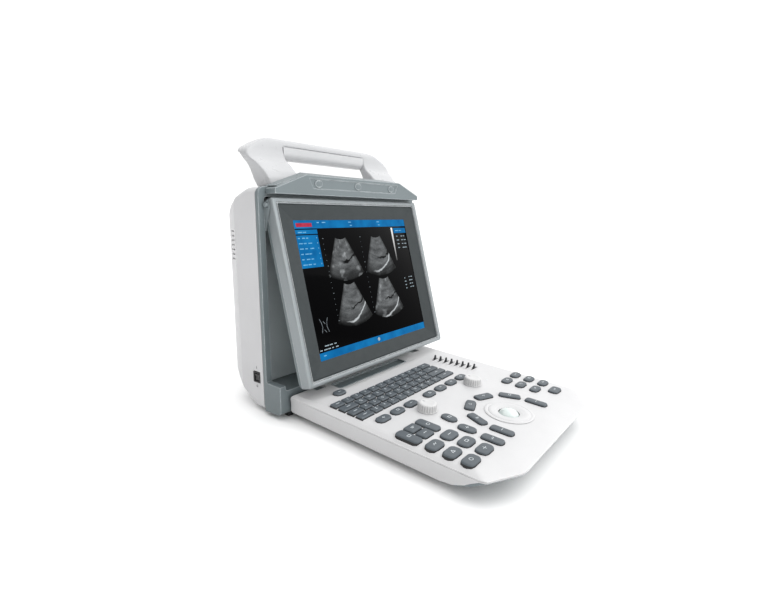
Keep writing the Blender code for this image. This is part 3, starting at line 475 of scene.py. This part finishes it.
def add_handle_shell():
    """The moulded handle: the CAD shape with every edge drawn out soft."""
    made = piece(
        "handle_shell_finished", joined("handle_shell"), Matrix.Identity(4), "main_unit",
        "housing_white", ("handle_shell",), HANDLE_WHITE, smooth=180
    )
    fine = made.modifiers.new("fine_skin", "REMESH")
    fine.mode = "VOXEL"
    fine.voxel_size = 1.3 * MM
    fine.use_smooth_shade = True
    soft = made.modifiers.new("soft_edges", "SMOOTH")
    soft.factor = 0.5
    soft.iterations = 24


def add_brow_bumps():
    """Three oval raised rings along the brow's face."""
    middle = 136.8
    profile = (
        (7.2, 17.0), (7.2, 15.9), (6.9, 15.4), (6.2, 15.2),
        (5.6, 15.5), (4.6, 15.4), (2.0, 15.1), (0.5, 15.05),
    )
    for index, x in enumerate((-80.0, 0.0, 80.0)):
        bm = bmesh.new()
        turned(bm, along_y, profile, (x, middle))
        centred = Matrix.Translation((0, 0, -middle))
        bmesh.ops.scale(bm, vec=(1, 1, 0.72), space=centred, verts=bm.verts)
        piece(f"brow_bump_{index + 1}", bm, CASE, "main_unit", "frame_grey")


def add_socket_contacts():
    """A field of contacts in an insulating tongue inside each transducer socket."""
    for index, x in enumerate((-70.0, 6.0)):
        tongue = bmesh.new()
        loft(tongue, [along_y(rounded(22, 5.5, 1.5, (x, -14)), y) for y in (121, 127.4)]
             + [along_y(rounded(21.4, 4.9, 1.2, (x, -14)), 128)])
        piece(f"socket_tongue_{index + 1}", tongue, CASE, "main_unit", "plastic_black")
        pins = bmesh.new()
        for column in range(18):
            for row in (-1, 1):
                spot = (x - 18.7 + 2.2 * column, -14 + row * 2.2)
                turned(pins, along_y, ((0.55, 127), (0.55, 128.5), (0.25, 128.8)), spot, 12)
        piece(f"socket_contacts_{index + 1}", pins, CASE, "main_unit", "steel")


def add_inlet_blades():
    """The three pins inside the mains inlet."""
    bm = bmesh.new()
    for x, z in ((115, -86.5), (108.5, -91.5), (121.5, -91.5)):
        loft(bm, [along_y(rounded(1.0, 2.0, 0.5, (x, z)), y) for y in (121, 128.5)]
             + [along_y(rounded(0.5, 1.5, 0.3, (x, z)), 129.5)])
    piece("inlet_blades", bm, CASE, "main_unit", "steel")


def full_turn(count):
    """Evenly spaced angles round a circle."""
    return [2 * math.pi * i / count for i in range(count)]


def add_fan_grille():
    """Five wire rings on four crossing bars."""
    hub = (100, 60)
    wire_radius, wire_y = 0.8, 118.6
    bm = bmesh.new()
    for radius in (6.5, 12.0, 17.5, 23.0, 27.2):
        wire = [
            (radius + wire_radius * math.cos(a), wire_y + wire_radius * math.sin(a))
            for a in full_turn(10)
        ]
        hoop(bm, [along_y(circle(r, hub, 64), y) for r, y in wire])
    middle = Vector(hub)
    for turn in range(0, 180, 45):
        away = Vector((math.cos(math.radians(turn)), math.sin(math.radians(turn)))) * 27.5
        stroke(bm, along_y, middle - away, middle + away, 1.6, 117.2, wire_y)
    piece("fan_grille", bm, CASE, "main_unit", "plastic_black")


def add_rear_screws():
    """Crosshead screws along the rear cover's edges."""
    profile = ((3.4, 120.6), (3.4, 121.5), (3.0, 122.0), (2.0, 122.2), (0.3, 122.3))
    heads, slots = bmesh.new(), bmesh.new()
    for x, z in ((-132, 92), (0, 92), (-132, -108), (132, -112), (132, 10), (-132, 10)):
        turned(heads, along_y, profile, (x, z), 32)
        stroke(slots, along_y, (x - 1.5, z), (x + 1.5, z), 0.7, 122.1, 122.34)
        stroke(slots, along_y, (x, z - 1.5), (x, z + 1.5), 0.7, 122.1, 122.34)
    piece("rear_screws", heads, CASE, "main_unit", "steel")
    piece("rear_screw_slots", slots, CASE, "main_unit", "plastic_black")


def add_battery_latch():
    """Seven finger ribs on the battery door."""
    bm = bmesh.new()
    for index in range(7):
        place = (0, -62 - 2.6 * index)
        foot = along_y(rounded(17, 0.8, 0.7, place), 125.2)
        crest = along_y(rounded(16.6, 0.4, 0.3, place), 126.2)
        loft(bm, [foot, crest])
    piece("battery_door_grips", bm, CASE, "main_unit", "housing_white")


def add_switch_marks():
    """The rocker's two position marks, a bar and a ring, inset in the sloping side of the case."""
    y = 52.5
    proud, sunk = -166.27, -165.9
    bm = bmesh.new()
    stroke(bm, along_x, (y, -101), (y, -98), 0.6, proud, sunk)
    ring = ((1.6, proud), (1.1, proud), (1.1, sunk), (1.6, sunk))
    hoop(bm, [along_x(circle(radius, (y, -124.5), 24), x) for radius, x in ring])
    piece("switch_marks", bm, CASE, "main_unit", "plastic_black")


def finish_main_unit():
    for node, radius in (
        ("front_frame", 1.6), ("mid_housing", 1.5), ("rear_cover", 1.0), ("brow_cap", 0.6),
        ("battery_door", 1.0), ("power_rocker", 0.4), ("probe_socket_1", 0.6),
        ("probe_socket_2", 0.6), ("mains_inlet", 0.5), ("switch_bezel", 0.4),
        ("foot_strip_left", 1.2), ("foot_strip_right", 1.2),
    ):
        refined(node, radius)
    refined("display_bulkhead", 0.4, finish=BULKHEAD_LIT_GREY)
    add_handle_shell()
    add_handle_grip()
    add_brow_bumps()
    add_socket_contacts()
    add_inlet_blades()
    add_fan_grille()
    add_rear_screws()
    add_battery_latch()
    add_switch_marks()


# ------------------------------------------------------------------ display


def upright(half, radius, y, middle=SCREEN_MIDDLE, steps=5):
    """A rounded rectangle in the display's plane, at depth y."""
    return along_y(rounded(half[0], half[1], radius, (0, middle), 0.0, steps), y)


def grown(half, amount):
    """Half sizes made larger all round."""
    return half[0] + amount, half[1] + amount


def add_display_frame():
    """The silver frame: rounded front lip, a fine gasket groove, then the edge of the bezel."""
    outside = (156.2, 120.0)
    loops = [upright(outside, 4, y, -112) for y in (4.0, -8.0)]
    for inset, y in ((0.25, -8.9), (0.9, -9.6), (1.9, -9.95), (2.8, -10.0)):
        loops.append(upright(grown(outside, -inset), 4 - inset * 0.5, y, -112))
    for grow, y in ((5.4, -10.0), (4.6, -9.85), (4.1, -9.4), (3.5, -8.9), (3.3, -7.6), (2.7, -7.6)):
        loops.append(upright(grown(MOUTH_HALF, grow), 3, y))
    for grow, y in ((2.5, -8.7), (2.2, -8.95), (1.8, -8.9), (1.5, -8.5), (1.5, 4.0)):
        loops.append(upright(grown(MOUTH_HALF, grow), 2.5, y))
    bm = bmesh.new()
    hoop(bm, loops)
    piece("display_frame_finished", bm, SCREEN, "display", "display_silver", ("display_frame",))


def add_display_bezel():
    """The dark surround, which slopes in to the picture."""
    loops = [upright(grown(MOUTH_HALF, 1.1), 2, y) for y in (-0.5, -6.9)]
    for grow, y in ((0.8, -7.15), (0.1, -7.2), (-0.6, -7.05)):
        loops.append(upright(grown(MOUTH_HALF, grow), 2, y))
    for grow, y in ((1.6, -3.75), (0.6, -3.45), (0.0, -3.3), (0.0, -3.1), (3.4, -3.1), (3.4, -0.5)):
        loops.append(upright(grown(SCREEN_HALF, grow), 1.0, y))
    bm = bmesh.new()
    hoop(bm, loops)
    piece("display_bezel_finished", bm, SCREEN, "display", "bezel_dark", ("display_bezel",))


def add_screen_glass():
    """The picture's glass, with a fine bevel round its face."""
    bm = bmesh.new()
    steps = ((3, 3), (3, -2.5), (2.7, -2.8))
    loft(bm, [upright(grown(SCREEN_HALF, grow), 1.0, y) for grow, y in steps])
    piece("lcd_panel_finished", bm, SCREEN, "display", "screen", ("lcd_panel",))


def on_picture(u, v):
    """Screen-plane x, z of a picture point; u runs right and v runs down, both from 0 to 1."""
    return (2 * u - 1) * SCREEN_HALF[0], SCREEN_MIDDLE + (1 - 2 * v) * SCREEN_HALF[1]


def tile(bm, left, top, right, bottom, layer):
    """A thin plate on the glass, sized in shares of the picture; a higher layer lies in front."""
    low, high = on_picture(left, bottom), on_picture(right, top)
    front = SCREEN_FACE - 0.05 * layer
    box(bm, (low[0], front, low[1]), (high[0], front + 0.04, high[1]))


def dashes(bm, left, v, right, count, seed, height=0.007):
    """A line of text suggested by short bars of uneven length."""
    pitch = (right - left) / count
    for index in range(count):
        length = pitch * (0.45 + 0.4 * ((seed * 7 + index * 5) % 9) / 8)
        start = left + index * pitch
        tile(bm, start, v, start + length, v + height, 2)


def add_picture_bars():
    """The blue bars and menu of the picture, and the red block in its corner."""
    bars = bmesh.new()
    tile(bars, 0.0, 0.0, 1.0, 0.06, 1)
    tile(bars, 0.0, 0.945, 1.0, 1.0, 1)
    tile(bars, 0.0, 0.068, 0.162, 0.1, 1)
    tile(bars, 0.0, 0.108, 0.16, 0.342, 1)
    tile(bars, 0.862, 0.075, 0.995, 0.12, 1)
    piece("picture_bars", bars, SCREEN, "display", "screen", finish=PICTURE_BLUE)
    block = bmesh.new()
    tile(block, 0.015, 0.02, 0.13, 0.048, 2)
    piece("picture_red_block", block, SCREEN, "display", "screen", finish=PICTURE_RED)


def add_picture_marks():
    """Short dashes that stand for the picture's menus and readings."""
    pale = bmesh.new()
    rows = (
        (0.17, 0.014, 0.25, 2), (0.43, 0.014, 0.46, 1), (0.70, 0.014, 0.735, 1),
        (0.44, 0.04, 0.47, 1), (0.71, 0.04, 0.74, 1), (0.02, 0.083, 0.09, 2),
        (0.88, 0.095, 0.96, 2), (0.03, 0.965, 0.06, 1),
    )
    for index, (left, v, right, count) in enumerate(rows):
        dashes(pale, left, v, right, count, index)
    for row in range(6):
        dashes(pale, 0.012, 0.125 + 0.038 * row, 0.1 + 0.012 * (row % 3), 3, row)
        tile(pale, 0.146, 0.125 + 0.038 * row, 0.151, 0.133 + 0.038 * row, 2)
    piece("picture_menu_marks", pale, SCREEN, "display", "screen", finish=PICTURE_PALE)
    marks = bmesh.new()
    for row in range(4):
        dashes(marks, 0.88, 0.145 + 0.034 * row, 0.91, 1, row)
        dashes(marks, 0.93, 0.145 + 0.034 * row, 0.985, 2, row + 2)
        dashes(marks, 0.88, 0.52 + 0.03 * row, 0.9, 1, row)
        dashes(marks, 0.93, 0.515 + 0.03 * row, 0.975, 2, row)
    dashes(marks, 0.01, 0.925, 0.16, 5, 3)
    dashes(marks, 0.05, 0.9, 0.16, 3, 5)
    dot = circle(2.6, on_picture(0.5, 0.972), 20)
    prism(marks, along_y, dot, SCREEN_FACE - 0.1, SCREEN_FACE - 0.06)
    piece("picture_marks", marks, SCREEN, "display", "screen", finish=PICTURE_WHITE)


def add_picture_scales():
    """Depth ticks beside the sectors, the grey bar, and the body mark."""
    dim = bmesh.new()
    for column in (0.19, 0.507):
        for row in range(16):
            v = 0.135 + 0.041 * row
            width = 0.008 if row % 5 == 0 else 0.003
            tile(dim, column, v, column + width, v + 0.005, 2)
    front = SCREEN_FACE - 0.1
    flank = ((0.03, 0.71), (0.02, 0.74), (0.016, 0.77), (0.026, 0.81))
    lines = [
        [on_picture(0.078 + mirror * away, v) for away, v in flank] for mirror in (-1, 1)
    ]
    lines += [[on_picture(0.072, v), on_picture(0.084, v + 0.02)] for v in (0.73, 0.79)]
    for line in lines:
        path_strokes(dim, along_y, line, 0.8, front, front + 0.04)
    piece("picture_scales", dim, SCREEN, "display", "screen", finish=PICTURE_DIM)
    ramp = bmesh.new()
    for step in range(24):
        narrow = 0.0004 * step
        tile(ramp, 0.834, 0.072 + 0.012 * step, 0.852 - narrow, 0.084 + 0.012 * step, 2)
    piece("picture_grey_bar", ramp, SCREEN, "display", "screen", finish=grey_ramp())


def grey_ramp():
    """White at the top of the bar, fading to black at its foot."""
    made, tree, shader, where = new_material("picture_grey_ramp", Base_Color=(0, 0, 0, 1))
    height = add(tree, "ShaderNodeSeparateXYZ", {"Vector": where}).outputs["Z"]
    top, foot = (SCREEN @ Vector((0, 0, on_picture(0, v)[1])) for v in (0.072, 0.36))
    strength = ranged(tree, height, 0.0, 0.95, foot.z, top.z)
    tree.links.new(strength, shader.inputs["Emission Strength"])
    shader.inputs["Emission Color"].default_value = (1, 1, 1, 1)
    return made


def add_sector(name, apex, near, far, start, end, finish):
    """A fan of tissue echo: a polar grid with its own map of share and depth."""
    bm = bmesh.new()
    uv = bm.loops.layers.uv.new("sector")
    columns, rows = 24, 16
    front = SCREEN_FACE - 0.06
    middle = on_picture(*apex)
    shares = {}
    grid = []
    for row in range(rows + 1):
        radius = near + (far - near) * row / rows
        line = []
        for column in range(columns + 1):
            angle = math.radians(start + (end - start) * column / columns)
            x = middle[0] + radius * math.sin(angle)
            z = middle[1] - radius * math.cos(angle)
            spot = bm.verts.new((x, front, z))
            shares[spot] = (column / columns, row / rows)
            line.append(spot)
        grid.append(line)
    for above, below in zip(grid, grid[1:]):
        for i in range(columns):
            bm.faces.new((above[i], below[i], below[i + 1], above[i + 1]))
    for face in bm.faces:
        for loop in face.loops:
            loop[uv].uv = shares[loop.vert]
    made = piece(name, bm, SCREEN, "display", "screen", finish=finish)
    thick = made.modifiers.new("thickness", "SOLIDIFY")
    thick.thickness = 0.04 * MM
    thick.offset = 0


def add_sectors():
    """Four views of the same organ. Each row gives the apex across and down, the depth of the
    boundary, which in the first is out of sight, and the patchiness."""
    views = (
        (0.335, 0.02, 1.5, 0.34), (0.66, 0.02, 0.93, 0.03),
        (0.335, 0.37, 0.93, 0.03), (0.66, 0.37, 1.02, 0.22),
    )
    near, far, half_angle = 24.0, 83.0, 27
    for index, (u, v, boundary, patches) in enumerate(views):
        finish = echo(f"picture_echo_{index + 1}", 3.7 * index, boundary, patches)
        name = f"picture_sector_{index + 1}"
        add_sector(name, (u, v), near, far, -half_angle, half_angle, finish)


def finish_display():
    add_display_frame()
    add_display_bezel()
    add_screen_glass()
    refined("display_back_cover", 0.8)
    add_picture_bars()
    add_picture_marks()
    add_picture_scales()
    add_sectors()


# ------------------------------------------------------------ control panel


def cap_specs(node):
    """Centre, half sizes, turn and corner radius of each key cap of a CAD group, left to right."""
    bm = flat_faced(node)
    bm.transform(PANEL.inverted())
    bm.normal_update()
    specs = []
    for face in bm.faces:
        if face.normal.z < 0.99 or abs(face.calc_center_median().z - CAP_TOP) > 0.1:
            continue
        longest = max(face.edges, key=lambda edge: edge.calc_length())
        edge_way = (longest.verts[1].co - longest.verts[0].co).xy.normalized()
        along = edge_way.copy()
        if abs(along.x) < abs(along.y):
            along = Vector((along.y, -along.x))
        if along.x < 0:
            along = -along
        across = Vector((-along.y, along.x))
        us = [vert.co.xy.dot(along) for vert in face.verts]
        vs = [vert.co.xy.dot(across) for vert in face.verts]
        half = (max(us) - min(us)) / 2, (max(vs) - min(vs)) / 2
        long_half = half[0] if abs(edge_way.dot(along)) > 0.7 else half[1]
        radius = max(long_half - longest.calc_length() / 2, 0.3)
        middle = along * (max(us) + min(us)) / 2 + across * (max(vs) + min(vs)) / 2
        specs.append({
            "at": (middle.x, middle.y),
            "half": (half[0] + CAP_INSET, half[1] + CAP_INSET),
            "turn": math.atan2(along.y, along.x),
            "radius": radius + CAP_INSET,
        })
    bm.free()
    return sorted(specs, key=lambda spec: spec["at"])


def cap_loops(spec, steps):
    """The cap's outline at each (inset, height)."""
    half_x, half_y = spec["half"]
    for inset, z in steps:
        radius = spec["radius"] - inset
        outline = rounded(half_x - inset, half_y - inset, radius, spec["at"], spec["turn"])
        yield along_z(outline, z)


def on_cap(spec, x, y):
    """A point of the cap's own plane, in panel millimetres."""
    c, s = math.cos(spec["turn"]), math.sin(spec["turn"])
    return spec["at"][0] + x * c - y * s, spec["at"][1] + x * s + y * c


CAP_SKIRT = ((0, 5.2), (0, 10.9), (0.05, SKIRT_TOP))
TYPING_CAP = CAP_SKIRT + (
    (0.25, 11.7), (0.5, 12.25), (0.9, 12.55), (1.4, 12.65), (2.0, 12.62), (2.6, TYPING_FACE),
)
DOMED_CAP = CAP_SKIRT + (
    (0.25, 11.6), (0.6, 12.3), (1.2, 12.65), (1.9, 12.82), (2.8, DOMED_FACE),
)


def add_key_group(node):
    """Caps with soft edges on one moulded web."""
    specs = cap_specs(node)
    steps = TYPING_CAP if node in LETTERS else DOMED_CAP
    bm = bmesh.new()
    for index, spec in enumerate(specs):
        loft(bm, cap_loops(spec, steps))
        if index:
            near = min(specs[:index], key=lambda other: math.dist(other["at"], spec["at"]))
            stroke(bm, along_z, near["at"], spec["at"], 6, WEB_TOP - 2, WEB_TOP)
    caps = piece(node + "_finished", bm, PANEL, node, "key_grey", (node,))
    # The band below the skirt's top, each cap's foot where it meets the deck, takes the black rubber: painted
    # shade.
    caps.data.materials.append(FINISHES["rubber_black"])
    for face in caps.data.polygons:
        face.material_index = int((PANEL.inverted() @ face.center).z < SKIRT_TOP)
    return specs


def letter_mesh(character, size, place):
    """A generic character as a thin plate."""
    text = bpy.data.curves.new("letter", "FONT")
    text.body = character
    text.size = size
    text.extrude = 0.02
    text.align_x, text.align_y = "CENTER", "CENTER"
    thing = bpy.data.objects.new("letter", text)
    mesh = bpy.data.meshes.new_from_object(thing)
    bpy.data.objects.remove(thing)
    bpy.data.curves.remove(text)
    mesh.transform(Matrix.Translation(place))
    return mesh


def add_typing_legends(node, specs):
    """Bars on the wide end keys, and a letter or digit on each key between."""
    bm = bmesh.new()
    ends = specs[0], specs[-1]
    for spec in ends:
        ink = [on_cap(spec, -3, 0.4), on_cap(spec, 3, 0.4)]
        path_strokes(bm, along_z, ink, 0.7, TYPING_FACE, TYPING_FACE + 0.05)
    for spec, character in zip(specs[1:-1], LETTERS[node]):
        x, y = on_cap(spec, 0, 0.3)
        mesh = letter_mesh(character, 5.0, (x, y, TYPING_FACE + 0.03))
        bm.from_mesh(mesh)
        bpy.data.meshes.remove(mesh)
    piece(node + "_legends", bm, PANEL, node, "key_grey", finish=LEGEND)


ICONS = (
    [[(-1, 0), (1, 0)]],
    [[(-1, 0), (1, 0)], [(0, -1), (0, 1)]],
    [[(-0.9, -0.8), (0.9, -0.8), (0, 0.9), (-0.9, -0.8)]],
    [[(-1, 0.4), (1, 0.4)], [(-1, -0.4), (0.4, -0.4)]],
    [[(-0.9, -0.7), (0.9, -0.7), (0.9, 0.7), (-0.9, 0.7), (-0.9, -0.7)]],
    [[(-1, -0.5), (-0.3, 0.6), (0.3, -0.4), (1, 0.6)]],
    [arc((0, 0), 0.9, 0, 360, 12)],
)


def add_icons(node, specs, first):
    """A simple geometric mark on each cap, taken in turn from the list."""
    bm = bmesh.new()
    for index, spec in enumerate(specs):
        size = 0.3 * min(spec["half"])
        for path in ICONS[(first + index * 3) % len(ICONS)]:
            points = [on_cap(spec, x * size * 1.2, y * size) for x, y in path]
            path_strokes(bm, along_z, points, 0.6, DOMED_FACE, DOMED_FACE + 0.05)
    piece(node + "_legends", bm, PANEL, node, "key_grey", finish=LEGEND)


def add_dial(node, place):
    """A ribbed dial with a soft top edge and a shallow dish."""
    bm = bmesh.new()
    count, ribs = 192, 24
    profile = (
        (12.7, 10.4, 0), (12.7, 11.0, 0), (12.6, 11.3, 1.1), (12.2, 17.4, 1.1),
        (11.9, 18.6, 0.8), (11.3, 19.6, 0.2), (10.5, 20.2, 0), (9.6, 20.46, 0),
        (8.6, 20.5, 0), (7.6, 20.3, 0), (2.0, 20.1, 0),
    )
    loops = []
    for radius, z, rib_depth in profile:
        loop = []
        for step in range(count):
            angle = 2 * math.pi * step / count
            reach = radius - rib_depth * (0.5 + 0.5 * math.cos(ribs * angle))
            loop.append((place[0] + reach * math.cos(angle), place[1] + reach * math.sin(angle), z))
        loops.append(loop)
    loft(bm, loops)
    turned(bm, along_z, ((4, 4), (4, 10.6)), place, 32)
    piece(node + "_finished", bm, PANEL, node, "dial_white", (node,))
    mark = bmesh.new()
    stroke(mark, along_z, (place[0], place[1] + 4.5), (place[0], place[1] + 7.2), 0.8, 20.1, 20.42)
    piece(node + "_mark", mark, PANEL, node, "dial_white", finish=FINISHES["frame_grey"])


def add_trackball():
    """The ball, and the lipped ring that holds it in the panel."""
    bm = bmesh.new()
    bmesh.ops.create_uvsphere(bm, u_segments=64, v_segments=40, radius=14.9)
    bmesh.ops.translate(bm, vec=(0, BALL_Y, 0.5), verts=bm.verts)
    piece("trackball_finished", bm, PANEL, "trackball", "ball_pearl", ("trackball",))
    ring = bmesh.new()
    profile = (
        (19.0, 2.0), (23.0, 2.0), (23.0, 10.35), (30.8, 10.35), (30.9, 10.6),
        (30.3, 11.0), (29.4, 11.25), (28.4, 11.3), (27.6, 11.15), (27.0, 10.8),
        (26.4, 10.8), (25.8, 11.25), (25.0, 11.6), (23.6, 11.85), (22.0, 11.9),
        (20.0, 11.7), (17.6, 11.2), (15.6, 10.6), (14.0, 10.1), (13.2, 9.7),
        (13.2, 9.2), (14.0, 7.4), (19.0, 7.4),
    )
    hoop(ring, [along_z(circle(radius, (0, BALL_Y), 96), z) for radius, z in profile])
    replaced = ("trackball_ring",)
    piece("trackball_ring_finished", ring, PANEL, "control_panel", "panel_white", replaced)


def add_slider(index):
    """A slim finger piece that stands on its stem."""
    x = SLIDER_FIRST[0] + index * SLIDER_STEP[0]
    y = SLIDER_FIRST[1] + index * SLIDER_STEP[1]
    node = f"gain_slider_{index + 1}"
    bm = bmesh.new()
    box(bm, (x - 1.2, y - 0.7, 3.2), (x + 1.2, y + 0.7, 11.0))
    steps = (
        (2.6, 1.9, 10.6), (2.6, 1.9, 11.2), (2.1, 1.5, 12.6), (1.7, 1.2, 14.6),
        (1.6, 1.15, 16.4), (1.45, 1.0, 17.2), (0.9, 0.6, 17.6),
    )
    loft(bm, [along_z(rounded(a, b, 0.8, (x, y)), z) for a, b, z in steps])
    piece(node + "_finished", bm, PANEL, node, "slider_black", (node,))
    lip = bmesh.new()
    rim = (
        (11.6, 2.9, 10.0), (11.5, 2.8, 10.3), (11.1, 2.4, 10.45), (10.4, 1.7, 10.4),
        (10.2, 1.5, 10.0),
    )
    hoop(lip, [along_z(rounded(a, b, 1.2, (x, y)), z) for a, b, z in rim])
    piece(f"slider_lip_{index + 1}", lip, PANEL, "control_panel", "panel_white")


def add_status_lamps():
    bm = bmesh.new()
    for place in ((131, -139.3), (81, -152.3)):
        turned(bm, along_z, ((1.3, 9.8), (1.3, 10.1), (0.9, 10.35), (0.3, 10.45)), place, 24)
    piece("status_lamps", bm, PANEL, "control_panel", "plastic_black", finish=LEGEND)


def finish_panel_base():
    """The base, with its faces that lean down and forward under the nose in grey: painted shade."""
    base = refined("panel_base", 0.8)
    base.data.materials.append(FINISHES["frame_grey"])
    for face in base.data.polygons:
        # Faces turned down and forward, under the nose, take the grey: painted shade.
        if face.normal.y < -0.15 and face.normal.z < -0.2:
            face.material_index = 1


def finish_panel():
    refined("panel_top_cover", 0.35)
    finish_panel_base()
    refined("finger_channel", 0.4, finish=FINISHES["frame_grey"])
    refined("panel_foot_left", 0.8)
    refined("panel_foot_right", 0.8)
    for node in LETTERS:
        add_typing_legends(node, add_key_group(node))
    for first, node in enumerate((
        "power_key", "function_keys_left", "function_keys_right", "image_keys", "arrow_keys",
        "measure_keys", "square_keys", "ball_keys_left", "ball_keys_right",
    )):
        add_icons(node, add_key_group(node), first)
    for node, place in KNOB_PLACES.items():
        add_dial(node, place)
    add_trackball()
    for index in range(8):
        add_slider(index)
    add_status_lamps()


def dress_cad_nodes():
    """Each CAD node takes its slot's finish, but the display bracket's steel is painted."""
    for node, thing in frame["nodes"].items():
        for holder in thing.material_slots:
            hidden_steel = slot_of[node] == "steel" and body_of[node] == "display_bracket"
            holder.material = PAINTED_STEEL if hidden_steel else FINISHES[slot_of[node]]


# ------------------------------------------------------------ studio, camera


def add_floor():
    """A matt white sheet wide enough to fill the view."""
    bm = bmesh.new()
    bmesh.ops.create_circle(bm, cap_ends=True, segments=96, radius=30)
    mesh = bpy.data.meshes.new("floor")
    bm.to_mesh(mesh)
    bm.free()
    made, tree, shader, where = new_material("floor_paper", Roughness=0.9)
    shade = blend_colour(tree, noise(tree, where, 3.0), (0.93, 0.93, 0.93), (0.95, 0.95, 0.95))
    tree.links.new(shade, shader.inputs["Base Color"])
    mesh.materials.append(made)
    floor = bpy.data.objects.new("floor", mesh)
    bpy.context.scene.collection.objects.link(floor)


def add_world():
    """Soft light, brightest overhead and weaker from the left, in surroundings that look white."""
    world = bpy.data.worlds.new("studio")
    bpy.context.scene.world = world
    world.use_nodes = True
    tree = world.node_tree
    direction = add(tree, "ShaderNodeTexCoord").outputs["Generated"]
    side, _, height = add(tree, "ShaderNodeSeparateXYZ", {"Vector": direction}).outputs
    level = ranged(tree, side, 0.16, 1.06, -0.8, 0.3)
    overhead = ranged(tree, height, 0.0, 1.0, 0.0, 1.0)
    light = maths(tree, "ADD", level, overhead)
    seen = add(tree, "ShaderNodeLightPath").outputs["Is Camera Ray"]
    strength = maths(tree, "MAXIMUM", light, seen)
    tree.links.new(strength, tree.nodes["Background"].inputs["Strength"])
    tree.nodes["Background"].inputs["Color"].default_value = (1, 1, 1, 1)


def add_light(name, place, target, size, power):
    """A square area light aimed at the target."""
    lamp = bpy.data.lights.new(name, "AREA")
    lamp.energy = power
    lamp.size = size
    thing = bpy.data.objects.new(name, lamp)
    thing.location = place
    thing.rotation_euler = (Vector(target) - Vector(place)).to_track_quat("-Z", "Y").to_euler()
    bpy.context.scene.collection.objects.link(thing)


def add_camera():
    yaw, pitch, roll = (math.radians(a) for a in (CAMERA_YAW, CAMERA_PITCH, CAMERA_ROLL))
    level_reach = math.cos(pitch)
    ahead = Vector((math.sin(yaw) * level_reach, math.cos(yaw) * level_reach, -math.sin(pitch)))
    level = Vector((math.cos(yaw), -math.sin(yaw), 0))
    above = level.cross(ahead)
    right = level * math.cos(roll) + above * math.sin(roll)
    up = above * math.cos(roll) - level * math.sin(roll)
    lens = bpy.data.cameras.new("camera")
    lens.sensor_width = 36
    lens.lens = CAMERA_LENS
    lens.shift_x, lens.shift_y = CAMERA_SHIFT
    camera = bpy.data.objects.new("camera", lens)
    turn = Matrix((right, up, -ahead)).transposed().to_4x4()
    camera.matrix_world = Matrix.Translation(CAMERA_PLACE) @ turn
    bpy.context.scene.collection.objects.link(camera)
    bpy.context.scene.camera = camera


dress_cad_nodes()
finish_main_unit()
finish_display()
finish_panel()
add_floor()
add_world()
add_light("key_light", (0.5, -1.0, 1.6), (0, 0, 0.1), 1.2, 7)
add_light("front_light", (-0.1, -2.2, 0.7), (0, 0, 0.15), 1.4, 10)
add_light("top_light", (-0.2, 0.4, 1.8), (0, 0, 0.1), 1.5, 3)
add_camera()
bpy.context.scene.view_settings.view_transform = "Standard"
